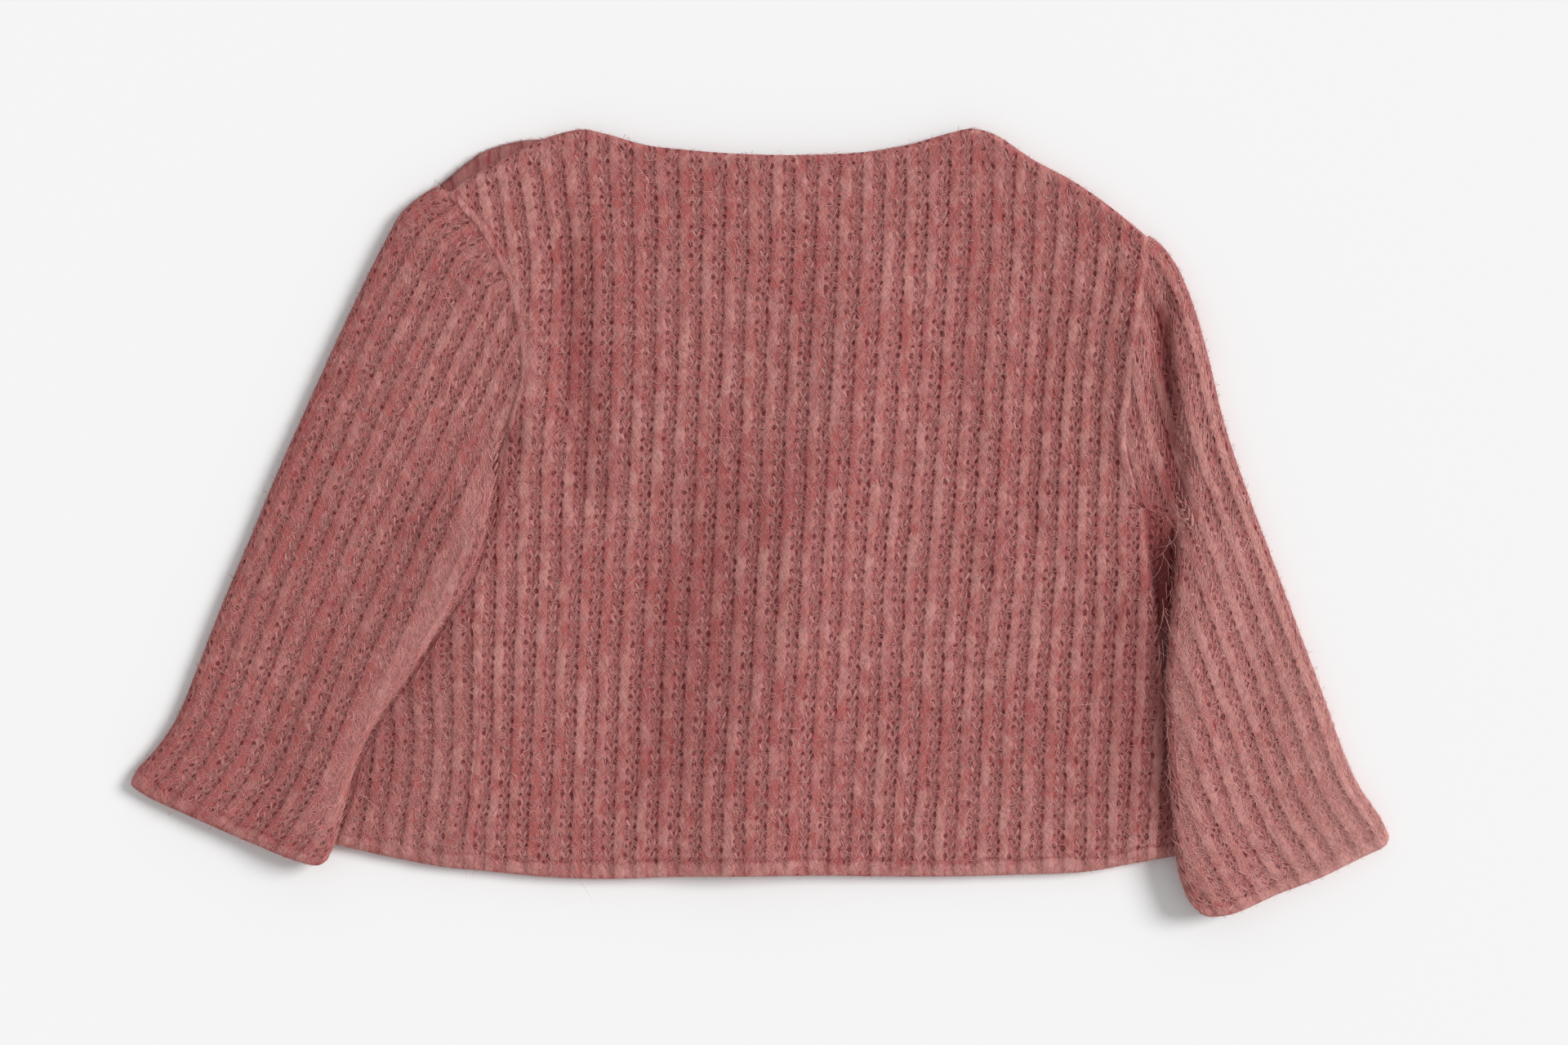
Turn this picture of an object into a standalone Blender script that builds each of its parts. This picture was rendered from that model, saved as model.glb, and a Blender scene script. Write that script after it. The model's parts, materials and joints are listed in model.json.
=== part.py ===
"""A baby's rib-knit cardigan, laid flat on its fronts with its back and sleeves up.

Five cut and sewn pieces, each a closed wall of cloth: a back, two fronts that overlap
below it, and two set-in sleeves. Sizes and places below are millimetres: +X runs to the
garment's side that lies right, +Y to its neck, +Z up, with the surface it lies on at z = 0.
"""
import math

import bmesh
import bpy

MM = 0.001

# Cloth and seams
WALL = 2.2              # thickness of the knit between its ribs
GAP = 0.3               # clear space between layers and across seams
SEAM_GAP = 0.4          # the same at a curved seam, measured before it is faceted
RIB_HEIGHT = 0.9        # how far a rib stands above the knit beside it
EDGE_DROP = 0.9         # how far a turned edge rounds down
EDGE_ROUND = 1.1        # width of that rounding
FOLD = WALL + GAP / 2   # radius of a fold where the cloth lies doubled

# One rib repeat: place across it, share of the rib's height
RIB_PROFILE = ((-0.15, 0.0), (0.15, 0.0), (0.35, 1.0), (0.65, 1.0))
RIB_FADE = 4.0          # distance from an edge over which the ribs rise to full height
RIB_CLEAR = 0.5         # ribs of the body that start nearer to a turned edge begin at it
FIRST_RIB = -21
LAST_RIB = 19

# The body from hem to shoulder: left edge, left side seam, right edge
# columns: share of the length, left x, left y, seam x, right x, right y
BODY_ROWS = (
    (0.000, -138.1, -101.9, -95.9, 132.6, -106.1),
    (0.006, -137.6, -100.6, -95.7, 132.6, -104.8),
    (0.058, -133.6, -90.0, -94.1, 131.8, -91.3),
    (0.127, -129.7, -75.7, -91.3, 131.0, -75.7),
    (0.190, -123.2, -62.7, -89.7, 130.1, -60.1),
    (0.253, -114.1, -49.7, -89.4, 130.1, -45.8),
    (0.342, -102.4, -31.5, -92.4, 131.1, -31.5),
    (0.417, -93.1, -15.9, -88.5, 130.9, -17.2),
    (0.493, -88.3, -0.3, -83.7, 128.4, -7.5),
    (0.556, -85.3, 12.7, -80.7, 125.2, -1.3),
    (0.588, -84.5, 19.2, -79.9, 121.9, 2.9),
    (0.644, -79.6, 30.9, -79.6, 118.3, 12.7),
    (0.720, -75.7, 46.5, -75.7, 115.4, 25.7),
    (0.796, -77.0, 62.1, -77.0, 117.0, 41.3),
    (0.871, -80.9, 77.7, -80.9, 119.6, 59.5),
    (0.922, -86.1, 88.1, -86.1, 121.4, 69.9),
    (0.963, -92.6, 96.7, -92.6, 122.7, 80.3),
    (0.994, -98.5, 103.0, -98.5, 123.2, 88.9),
    (1.000, -99.8, 104.3, -99.8, 123.2, 90.5),
)
UNDERARM_ROW = 10
ARMHOLE_ROW = 12        # where a sleeve's fold ends and its open seam edge begins
START_X = 10.0          # x at which the slope of a row gives the start of a front

# Edges that run across the body, left to right: x, y
HEM = (
    (-138.1, -101.9), (-127.7, -104.3), (-114.7, -107.1), (-101.7, -109.5),
    (-88.7, -110.8), (-62.7, -113.1), (-49.7, -113.4), (-23.7, -112.6),
    (15.3, -112.3), (60.8, -112.6), (80.3, -112.1), (106.3, -110.8),
    (119.3, -108.4), (132.6, -106.1),
)
BACK_TOP = (
    (-99.8, 104.3), (-86.1, 110.2), (-75.7, 116.5), (-62.7, 121.4), (-55.9, 124.8),
    (-49.7, 123.5), (-36.7, 119.9), (-23.7, 118.3), (15.3, 116.7), (34.8, 117.8),
    (47.8, 120.1), (60.8, 123.8), (67.3, 125.1), (73.8, 123.5), (86.8, 115.2),
    (99.8, 108.2), (112.8, 99.1), (123.2, 90.5),
)
FRONT_TOP = (
    (-99.8, 104.3), (-86.1, 110.2), (-75.7, 116.5), (-64.0, 120.9), (-63.8, 121.4),
    (-57.0, 107.0), (-43.2, 89.4), (-23.7, 79.0), (4.9, 75.1), (33.5, 75.9),
    (46.5, 82.9), (58.2, 99.8), (64.7, 116.7), (68.0, 124.4), (73.8, 122.9),
    (86.8, 114.6), (99.8, 107.6), (112.8, 98.5), (123.2, 90.2),
)
# The front rolls over the left shoulder: x, y of its fold
SHOULDER_FOLD = (
    (-102.2, 107.1), (-95.2, 112.8), (-88.7, 117.5), (-82.2, 119.9), (-75.7, 121.4),
    (-69.2, 122.9), (-64.0, 124.1),
)
NECK_POINT = -64.0      # x at which the left shoulder meets the neck edge

# Where the ribs run on the back: y, then x of the ribs numbered in RIB_NUMBERS
RIB_NUMBERS = (-15, -12, -8, 0, 5, 10, 15, 18)
RIB_LINES = (
    (-104.3, -95.9, -75.7, -48.4, 6.8, 39.8, 73.6, 108.4, 127.7),
    (-73.1, -93.1, -74.4, -47.3, 7.8, 41.9, 74.9, 108.9, 129.7),
    (-41.9, -93.1, -73.1, -46.5, 9.9, 43.2, 76.4, 110.5, 131.3),
    (-10.7, -92.6, -72.0, -44.7, 11.4, 44.7, 79.3, 111.5, 132.3),
    (20.5, -92.0, -71.0, -43.2, 12.7, 47.3, 80.9, 112.1, 132.3),
    (51.7, -90.0, -68.9, -42.1, 14.0, 49.1, 82.9, 113.6, 133.6),
    (82.9, -88.9, -67.9, -41.9, 15.6, 51.0, 84.8, 118.3, 138.3),
    (114.1, -92.8, -72.0, -42.6, 16.6, 51.7, 86.1, 120.9, 141.4),
)

# The fronts' overlap: x, y of its middle line at the hem and at the neck
OVERLAP_HEM = (-6.0, -112.5)
OVERLAP_NECK = (33.0, 76.0)
OVERLAP = 17.6          # its width
OVERLAP_CLEAR = 0.4     # width past the lower front's edge before the step begins
STEP_WIDTH = 6.0        # width over which the upper front steps on to the lower one
HEM_INSET = 0.6         # how far the fronts stay inside the back's hem
FRONT_PARTS = 4         # parts of a front between its step and its doubled side
LEFT_SIDE_PARTS = 7     # parts of each front on its other side
RIGHT_SIDE_PARTS = 6
NECK_CLEAR = 0.2        # distance from the neck point to the places beside it
RIGHT_MIDDLE = 66.0     # x at which the right front's side part begins

# Angles of the places round a fold, in degrees; a quarter turn is its top
SIDE_FOLD_ANGLES = (-50, -20, 10, 45)
OVER_ANGLES = (0, 40, 70, 90)
UNDER_ANGLES = (-40, -70, -90)

# The doubled strip on the left shoulder: share of its reach, height taken off its edges
SHOULDER_ROWS = ((0.0, 0.0), (0.75, 0.0), (1.0, EDGE_DROP))
SHOULDER_CLEAR = 0.4    # how far past the row of the seam it begins
SHOULDER_TURN = 12.0    # length over which its end turns into the armhole

# Sleeve outlines: x, y. Outer and inner edges run from the cuff up
LEFT_SLEEVE = {
    "outer": (
        (-200.2, -82.2), (-198.1, -78.3), (-193.2, -73.1), (-185.9, -62.7),
        (-179.4, -47.1), (-171.3, -26.3), (-162.5, -5.5), (-153.9, 15.3),
        (-144.6, 36.1), (-135.2, 56.9), (-125.3, 77.7), (-117.3, 93.3),
        (-114.1, 98.5), (-108.2, 103.7), (-103.4, 106.4),
    ),
    "cuff": (
        (-200.2, -82.2), (-199.2, -84.5), (-192.7, -88.4), (-179.7, -94.1),
        (-166.7, -99.8), (-153.7, -105.0), (-145.3, -107.9), (-140.1, -108.7),
        (-137.3, -107.1),
    ),
    "inner": (
        (-137.3, -107.1), (-134.9, -101.7), (-131.6, -90.0), (-127.7, -75.7),
        (-121.2, -62.7), (-112.1, -49.7), (-100.4, -31.5), (-91.3, -15.9),
        (-87.8, -0.3), (-86.0, 12.7), (-85.3, 19.2),
    ),
    "corner": (-102.6, 107.0),
    "side": -1,
    "lift": 4.9,
}
RIGHT_SLEEVE = {
    "outer": (
        (200.2, -99.8), (197.3, -93.9), (190.3, -83.5), (185.6, -73.1),
        (178.1, -52.3), (170.3, -31.5), (162.5, -10.7), (154.7, 10.1),
        (147.7, 30.9), (142.7, 51.7), (138.3, 67.3), (134.4, 77.7),
        (131.6, 82.9), (127.7, 88.1), (123.7, 91.0),
    ),
    "cuff": (
        (200.2, -99.8), (198.4, -103.2), (190.8, -106.9), (177.8, -113.1),
        (164.8, -118.0), (151.8, -123.5), (145.3, -124.8), (140.1, -124.3),
        (135.7, -119.9),
    ),
    "inner": (
        (135.7, -119.9), (133.6, -114.7), (131.6, -105.6), (129.7, -80.9),
        (128.6, -60.1), (128.7, -45.8), (129.8, -31.5), (129.9, -17.2),
        (128.2, -7.5), (125.8, -0.5), (122.4, 2.9),
    ),
    "corner": (123.6, 91.2),
    "side": 1,
    "lift": 5.6,
}
SLEEVE_RIBS = 10
RIB_PITCH = 6.9         # width of a rib repeat on the sleeves
SLEEVE_RIB_CLEAR = 0.6  # ribs that start nearer to a sleeve's fold begin at it
EDGE_SAMPLES = 60       # parts in which a sleeve's edges and rows are measured
LAST_SHARE = 0.999      # share round a sleeve just before its rows meet their start
SLEEVE_UPS = (0.0, 0.008, 0.06, 0.14, 0.23, 0.33, 0.43, 0.53, 0.63, 0.72, 0.78, 0.825,
              0.87, 0.92, 0.96, 0.988, 1.0)
LIFT_WIDTH = 13.0       # width of a sleeve's underside that rises on to the body's side
LIFT_TOP_WIDTH = 32.0   # width of its top that rises with it
LIFT_FLAT = 4.5         # width beside the edge that is level again
LIFT_START = 13.0       # length below the armhole over which it rises
LIFT_MIDDLE = 0.65      # share of the lifted width at which it is halfway
UNDER_SHARES = (1.0, 0.75, 0.5, 0.25)   # places across the level part of the underside

# Soft folds of the upper layer: x, y at both ends, half width, height
LOFT_ROUND = 0.02       # how softly they end where the layer lies flat
FOLDS = (
    (0.0, 80.0, 0.0, -95.0, 75.0, 1.5),
    (-168.0, -95.0, -100.0, 80.0, 22.0, 1.8),
    (166.0, -112.0, 136.0, 60.0, 22.0, 1.8),
    (34.0, 66.0, -7.0, -112.0, 17.0, 3.0),
    (-30.0, 5.0, -42.0, -65.0, 16.0, -1.0),
    (-62.0, 88.0, -55.0, 10.0, 7.0, -1.0),
    (-71.0, 82.0, -72.0, 28.0, 6.0, 1.0),
    (93.0, 67.0, 88.0, 0.0, 7.0, -1.1),
    (77.0, 70.0, 77.0, -20.0, 8.0, 0.8),
    (119.0, 82.0, 114.0, 24.0, 5.0, 1.5),
    (128.5, 70.0, 131.5, 20.0, 4.5, -2.6),
    (131.5, 20.0, 124.0, 2.0, 4.5, -2.0),
)

COLOURS = {
    "back": (0.42, 0.14, 0.13, 1.0),
    "front_left": (0.38, 0.12, 0.11, 1.0),
    "front_right": (0.36, 0.11, 0.10, 1.0),
    "sleeve_left": (0.44, 0.15, 0.14, 1.0),
    "sleeve_right": (0.44, 0.15, 0.14, 1.0),
}


def smooth(t):
    """Ease from 0 to 1."""
    t = min(max(t, 0.0), 1.0)
    return t * t * (3 - 2 * t)


def mix(a, b, t):
    return a + (b - a) * t


def read(table, key, column=1):
    """Value of a column of a table at a key, straight between its rows."""
    rows = table if table[0][0] < table[-1][0] else table[::-1]
    if key <= rows[0][0]:
        return rows[0][column]
    for low, high in zip(rows, rows[1:]):
        if key <= high[0]:
            return mix(low[column], high[column], (key - low[0]) / (high[0] - low[0]))
    return rows[-1][column]


def along(points, share):
    """Point of a smooth line through the points, by its share of their length."""
    steps = [math.dist(a, b) for a, b in zip(points, points[1:])]
    goal = share * sum(steps)
    i = 0
    while i < len(steps) - 1 and goal > steps[i]:
        goal -= steps[i]
        i += 1
    t = min(goal / steps[i], 1.0)
    before = points[max(i - 1, 0)]
    after = points[min(i + 2, len(points) - 1)]
    a, b = points[i], points[i + 1]
    place = []
    for axis in (0, 1):
        leave = (b[axis] - before[axis]) / 2
        reach = (after[axis] - a[axis]) / 2
        place.append(
            (2 * t ** 3 - 3 * t ** 2 + 1) * a[axis]
            + (t ** 3 - 2 * t ** 2 + t) * leave
            + (3 * t ** 2 - 2 * t ** 3) * b[axis]
            + (t ** 3 - t ** 2) * reach
        )
    return tuple(place)


def along_straight(points, share):
    """Point of a line with straight stretches, by its share of their length."""
    steps = [math.dist(a, b) for a, b in zip(points, points[1:])]
    goal = share * sum(steps)
    for (a, b), step in zip(zip(points, points[1:]), steps):
        if goal <= step:
            t = goal / step
            return (mix(a[0], b[0], t), mix(a[1], b[1], t))
        goal -= step
    return points[-1]


def loft(x, y):
    """Height of the soft folds of the upper layer, never below none."""
    height = 0.0
    for x1, y1, x2, y2, width, rise in FOLDS:
        run = (x2 - x1, y2 - y1)
        t = ((x - x1) * run[0] + (y - y1) * run[1]) / (run[0] ** 2 + run[1] ** 2)
        t = min(max(t, 0.0), 1.0)
        away = math.dist((x, y), (x1 + run[0] * t, y1 + run[1] * t))
        height += rise * math.exp(-((away / width) ** 2))
    return (height + math.sqrt(height * height + LOFT_ROUND)) / 2


def overlap_x(y):
    """Middle line of the fronts' overlap at a height on the garment."""
    t = (y - OVERLAP_HEM[1]) / (OVERLAP_NECK[1] - OVERLAP_HEM[1])
    return mix(OVERLAP_HEM[0], OVERLAP_NECK[0], t)


def row_y(row, top, x):
    """Where a row of the body runs at x, bent towards the hem or the top edge."""
    share, left_x, left_y, _, right_x, right_y = row
    across = (x - left_x) / (right_x - left_x)
    base = mix(left_y, right_y, across)
    first, last = BODY_ROWS[0], BODY_ROWS[-1]
    hem_x = mix(first[1], first[4], across)
    hem_bend = read(HEM, hem_x) - mix(first[2], first[5], across)
    top_x = mix(last[1], last[4], across)
    top_bend = read(top, top_x) - mix(last[2], last[5], across)
    return base + hem_bend * (1 - share) ** 3 + top_bend * share ** 3


def rib_x(rib, y):
    """Where a rib line runs at a height on the garment."""
    xs = [read(RIB_LINES, y, i + 1) for i in range(len(RIB_NUMBERS))]
    i = 0
    while i < len(RIB_NUMBERS) - 2 and rib > RIB_NUMBERS[i + 1]:
        i += 1
    t = (rib - RIB_NUMBERS[i]) / (RIB_NUMBERS[i + 1] - RIB_NUMBERS[i])
    return mix(xs[i], xs[i + 1], t)


def make_wall(name, outer, inner, closed=False):
    """A closed wall of cloth between two sets of rows.

    A row is a list of (share along the row, point). Points that fall together are one
    vertex, so that a rib can run out at a seam. A closed wall is a tube.
    """
    mesh = bmesh.new()
    known = {}

    def vertex(point):
        key = tuple(round(value, 2) for value in point)
        if key not in known:
            known[key] = mesh.verts.new([value * MM for value in key])
        return known[key]

    def face(points):
        corners = []
        for point in points:
            corner = vertex(point)
            if corner not in corners:
                corners.append(corner)
        if len(corners) > 2 and mesh.faces.get(corners) is None:
            mesh.faces.new(corners)

    def skin(rows):
        for low, high in zip(rows, rows[1:]):
            for i in range(len(low) - 1):
                face((low[i][1], low[i + 1][1], high[i + 1][1], high[i][1]))

    def zip_rows(one, two):
        i = j = 0
        while i < len(one) - 1 or j < len(two) - 1:
            step_one = j == len(two) - 1
            if not step_one and i < len(one) - 1:
                step_one = one[i + 1][0] <= two[j + 1][0]
            if step_one:
                face((one[i][1], one[i + 1][1], two[j][1]))
                i += 1
            else:
                face((one[i][1], two[j + 1][1], two[j][1]))
                j += 1

    if closed:
        outer = [row + [(1.0, row[0][1])] for row in outer]
        inner = [row + [(1.0, row[0][1])] for row in inner]
    skin(outer)
    skin(inner)
    zip_rows(outer[0], inner[0])
    zip_rows(outer[-1], inner[-1])
    if not closed:
        for end in (0, -1):
            for j in range(len(outer) - 1):
                face((outer[j][end][1], outer[j + 1][end][1], inner[j + 1][end][1],
                      inner[j][end][1]))
    bmesh.ops.triangulate(mesh, faces=mesh.faces[:])
    bmesh.ops.recalc_face_normals(mesh, faces=mesh.faces[:])
    data = bpy.data.meshes.new(name)
    mesh.to_mesh(data)
    mesh.free()
    piece = bpy.data.objects.new(name, data)
    bpy.context.scene.collection.objects.link(piece)
    knit = bpy.data.materials.new(name + "_knit")
    knit.use_nodes = True
    shader = knit.node_tree.nodes["Principled BSDF"]
    shader.inputs["Base Color"].default_value = COLOURS[name]
    shader.inputs["Roughness"].default_value = 0.95
    data.materials.append(knit)
    return piece


def top_row(j, top, left, right):
    """Points of one row of the body's upper layer between two edges.

    Returns the outer row, with its ribs, and the plain inner row.
    """
    row = BODY_ROWS[j]
    share = row[0]
    at_end = j in (0, len(BODY_ROWS) - 1)
    span = right - left

    def place(x, y, rise, drop=0.0):
        base = WALL + GAP + loft(x, y)
        return (x, y, base + rise - drop)

    outer, inner = [], []
    drop = EDGE_DROP if at_end else 0.0
    for x in (left, left + EDGE_ROUND):
        edge_drop = EDGE_DROP if x == left else drop
        outer.append(((x - left) / span, place(x, row_y(row, top, x), WALL, edge_drop)))
    inner.append((0.0, place(left, row_y(row, top, left), 0.0)))
    first = left + EDGE_ROUND
    last = right - EDGE_ROUND
    for rib in range(FIRST_RIB, LAST_RIB + 1):
        for step, (offset, share_up) in enumerate(RIB_PROFILE):
            x = rib_x(rib + offset, (row[2] + row[5]) / 2)
            for _ in range(3):
                x = rib_x(rib + offset, row_y(row, top, x))
            if x < first + RIB_CLEAR:
                x = first
            if x > last - RIB_CLEAR:
                x = last
            from_edge = min(x - first, last - x)
            rise = RIB_HEIGHT * share_up * smooth(from_edge / RIB_FADE)
            point = place(x, row_y(row, top, x), WALL + rise, drop)
            outer.append(((x - left) / span, point))
            if step == 0:
                inner.append(((x - left) / span, place(x, row_y(row, top, x), 0.0)))
    for x in (last, right):
        edge_drop = EDGE_DROP if x == right else drop
        outer.append(((x - left) / span, place(x, row_y(row, top, x), WALL, edge_drop)))
    inner.append((1.0, place(right, row_y(row, top, right), 0.0)))
    return outer, inner


def make_back():
    outer, inner = [], []
    for j, row in enumerate(BODY_ROWS):
        left = row[3] + (GAP / 2 if j <= UNDERARM_ROW else 0.0)
        up, down = top_row(j, BACK_TOP, left, row[4])
        outer.append(up)
        inner.append(down)
    return make_wall("back", outer, inner)


def front_columns(start, end, middle, side_parts):
    """Places across a front, close together where it steps over the other front.

    It also has two close places at its middle, which is the left front's neck point.
    """
    side = 1 if end > start else -1
    stepped = start + side * (OVERLAP + STEP_WIDTH)
    places = [start, start + side * (OVERLAP + OVERLAP_CLEAR), stepped]
    for i in range(1, FRONT_PARTS + 1):
        places.append(mix(stepped, middle + NECK_CLEAR, i / FRONT_PARTS))
    for i in range(side_parts + 1):
        places.append(mix(middle - NECK_CLEAR, end, i / side_parts))
    return places


def front_row(row, start, end, columns):
    """Places of one row of a front, as shares of its width, x and y inside the hem."""
    inset = HEM_INSET if row[0] == 0 else 0.0
    return [((x - start) / (end - start), x, row_y(row, FRONT_TOP, x) + inset)
            for x in columns]


def make_front_right():
    """The lower front, flat on the surface."""
    outer, inner = [], []
    for row in BODY_ROWS:
        start = overlap_x(row_y(row, FRONT_TOP, START_X)) - OVERLAP / 2
        end = row[4]
        columns = front_columns(start, end, RIGHT_MIDDLE, RIGHT_SIDE_PARTS)
        low, high = [], []
        for share, x, y in front_row(row, start, end, columns):
            low.append((share, (x, y, 0.0)))
            high.append((share, (x, y, WALL)))
        outer.append(low)
        inner.append(high)
    return make_wall("front_right", outer, inner)


def make_front_left():
    """The upper front: it steps on to the other front and rolls round the left side.

    Below the underarm a row runs from the overlap to the left, round the fold and back
    along the top to the side seam. Above it the row ends at the armhole.
    """
    outer, inner = [], []
    for j, row in enumerate(BODY_ROWS):
        start = overlap_x(row_y(row, FRONT_TOP, START_X)) + OVERLAP / 2
        wraps = j <= UNDERARM_ROW
        edge = row[1]
        end = edge + FOLD if wraps else edge
        columns = front_columns(start, end, NECK_POINT, LEFT_SIDE_PARTS)
        low, high = [], []
        for i, (share, x, y) in enumerate(front_row(row, start, edge, columns)):
            raised = WALL + GAP if i < 2 else 0.0
            low.append((share / 2, (x, y, raised)))
            high.append((share / 2, (x, y, raised + WALL)))
        corner = high[-1][1]
        over_out, over_in = [], []
        if wraps:
            y_edge = row_y(row, FRONT_TOP, edge)
            lift = loft(edge + FOLD, y_edge)
            half = FOLD + lift / 2
            for angle in SIDE_FOLD_ANGLES:
                x = edge + FOLD * (1 - math.cos(math.radians(angle)))
                z = half * (1 + math.sin(math.radians(angle)))
                over_out.append((0.5, (x, row_y(row, FRONT_TOP, x), z)))
            over_in.append((0.5, (edge + WALL, row_y(row, FRONT_TOP, edge + WALL), half)))
            up, down = top_row(j, BACK_TOP, edge + FOLD - EDGE_ROUND, row[3] - GAP / 2)
            over_out += [(0.5 + 0.5 * share, point) for share, point in up[1:]]
            over_in += [(0.5 + 0.5 * share, point) for share, point in down[1:]]
        else:
            over_out = [(0.5, corner)] * (len(outer[0]) - len(low))
            over_in = [(0.5, corner)] * (len(inner[0]) - len(high))
        outer.append(low + over_out)
        inner.append(high + over_in)
    add_shoulder_fold(outer, inner)
    return make_wall("front_left", outer, inner)


def add_shoulder_fold(outer, inner):
    """Rows past the shoulder seam, where the front lies doubled on the left shoulder."""
    last_out, last_in = outer[-1], inner[-1]
    doubled = 2 * WALL + GAP
    for reach, drop in SHOULDER_ROWS:
        new = []
        for source, z in ((last_out, drop), (last_in, doubled - drop)):
            points = []
            for share, (x, y, height) in source:
                if x > NECK_POINT:
                    points.append((share, (x, y, height)))
                    continue
                shift = smooth((x - SHOULDER_FOLD[0][0]) / SHOULDER_TURN)
                fold_x = mix(x + SHOULDER_FOLD[0][0] - BODY_ROWS[-1][1], x, shift)
                start = y + SHOULDER_CLEAR
                points.append((share, (mix(x, fold_x, reach),
                                       mix(start, read(SHOULDER_FOLD, fold_x), reach), z)))
            new.append(points)
        outer.append(new[0])
        inner.append(new[1])


def offset_line(points, distance):
    """The same line, moved sideways to its left."""
    moved = []
    for i, point in enumerate(points):
        before = points[max(i - 1, 0)]
        after = points[min(i + 1, len(points) - 1)]
        run = (after[0] - before[0], after[1] - before[1])
        length = math.hypot(*run)
        moved.append((point[0] - run[1] / length * distance,
                      point[1] + run[0] / length * distance))
    return moved


def distance(point, line):
    """Shortest distance from a point to a line of short straight stretches."""
    best = math.inf
    for a, b in zip(line, line[1:]):
        run = (b[0] - a[0], b[1] - a[1])
        size = run[0] ** 2 + run[1] ** 2
        t = ((point[0] - a[0]) * run[0] + (point[1] - a[1]) * run[1]) / size
        t = min(max(t, 0.0), 1.0)
        best = min(best, math.dist(point, (a[0] + run[0] * t, a[1] + run[1] * t)))
    return best


def make_sleeve(name, shape):
    """A flattened tube from the cuff to the armhole, ribbed on top and plain below.

    Its ribs run beside its outer edge and end at the armhole or the inner edge.
    """
    side = shape["side"]
    columns = (1, 2) if side < 0 else (4, 5)
    seam = [(row[columns[0]], row[columns[1]]) for row in BODY_ROWS[:UNDERARM_ROW - 1:-1]]
    seam = offset_line(seam, side * SEAM_GAP)
    seam[0] = shape["corner"]
    seam[-1] = shape["inner"][-1]
    split = len(BODY_ROWS) - ARMHOLE_ROW
    armhole = seam[:split]
    cuff = shape["cuff"]
    outer_points = shape["outer"][:-1] + (armhole[0],)
    samples = [i / EDGE_SAMPLES for i in range(EDGE_SAMPLES + 1)]
    outer_edge = [along(outer_points, share) for share in samples]
    inner_points = shape["inner"][:-1] + tuple(seam[:split - 2:-1])
    inner_edge = [along(inner_points, share) for share in samples]
    underarm = seam[-1]

    def place(u, v):
        a, b = along(cuff, u), along_straight(armhole, u)
        c, d = along_straight(outer_edge, v), along_straight(inner_edge, v)
        low = (mix(cuff[0][0], cuff[-1][0], u), mix(cuff[0][1], cuff[-1][1], u))
        high = (mix(armhole[0][0], armhole[-1][0], u), mix(armhole[0][1], armhole[-1][1], u))
        return tuple(mix(a[k], b[k], v) + mix(c[k], d[k], u) - mix(low[k], high[k], v)
                     for k in (0, 1))

    outer, inner = [], []
    for v in SLEEVE_UPS:
        drop = EDGE_DROP if v in (0.0, 1.0) else 0.0
        points = [place(u, v) for u in samples]
        from_out = [(distance(point, outer_edge), u) for point, u in zip(points, samples)]
        from_in = [(distance(point, inner_edge), u) for point, u in zip(points, samples)]
        from_out[0] = (0.0, 0.0)
        from_in[-1] = (0.0, 1.0)
        from_in.reverse()

        def share_at(table, away):
            """Share across the row at a distance from one of the sleeve's edges."""
            for low, high in zip(table, table[1:]):
                if low[0] <= away <= high[0]:
                    return mix(low[1], high[1], (away - low[0]) / (high[0] - low[0]))
            return table[-1][1]

        def layers(u):
            """Point across the row, underside height, and height inside the top wall."""
            x, y = place(u, v)
            away = distance((x, y), inner_edge)
            lift = shape["lift"] * smooth((underarm[1] - y) / LIFT_START)
            under_lift = lift * smooth((LIFT_WIDTH - away) / (LIFT_WIDTH - LIFT_FLAT))
            top_lift = lift * smooth((LIFT_TOP_WIDTH - away) / (LIFT_TOP_WIDTH - LIFT_FLAT))
            return x, y, under_lift, WALL + GAP + loft(x, y) + top_lift

        def fold_point(table, angle):
            """A point round the fold at one edge; a quarter turn is its top."""
            u = share_at(table, FOLD * (1 - math.cos(math.radians(angle))))
            x, y, low, top = layers(u)
            half = (top + WALL - low) / 2
            trim = drop if angle == 90 else 0.0
            return (x, y, low + half + half * math.sin(math.radians(angle)) - trim)

        def fold_points(share, table, angles):
            return [(share, fold_point(table, angle)) for angle in angles]

        over = fold_points(0.0, from_out, OVER_ANGLES)
        over_in, under, under_in = [], [], []
        first = share_at(from_out, FOLD)
        last = share_at(from_in, FOLD)
        for rib in range(SLEEVE_RIBS + 1):
            for step, (offset, share_up) in enumerate(RIB_PROFILE):
                away = (rib + offset) * RIB_PITCH
                u = share_at(from_out, away) if away > 0 else 0.0
                point = place(u, v)
                to_fold = min(away, distance(point, inner_edge)) - FOLD
                if u <= first or to_fold < SLEEVE_RIB_CLEAR and u < 0.5:
                    u = first
                if u >= last or to_fold < SLEEVE_RIB_CLEAR and u >= 0.5:
                    u = last
                if u in (first, last):
                    to_fold = 0.0
                x, y, low, top = layers(u)
                rise = WALL + RIB_HEIGHT * share_up * smooth(to_fold / RIB_FADE)
                over.append((u / 2, (x, y, top + rise - drop)))
                if step == 0:
                    over_in.append((u / 2, (x, y, top)))
        over += fold_points(0.5, from_in, OVER_ANGLES[::-1])
        under += fold_points(0.5, from_in, UNDER_ANGLES)
        flat = share_at(from_in, LIFT_WIDTH)
        lifted = [share_at(from_in, LIFT_FLAT), share_at(from_in, LIFT_WIDTH * LIFT_MIDDLE)]
        for u in lifted + [flat * share for share in UNDER_SHARES]:
            x, y, low, _ = layers(u)
            under.append((1 - u / 2, (x, y, low)))
            under_in.append((1 - u / 2, (x, y, low + WALL)))
        under += fold_points(LAST_SHARE, from_out, UNDER_ANGLES[::-1])

        def slot(table):
            x, y, low, top = layers(share_at(table, WALL))
            return (x, y, (low + WALL + top) / 2)

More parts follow.
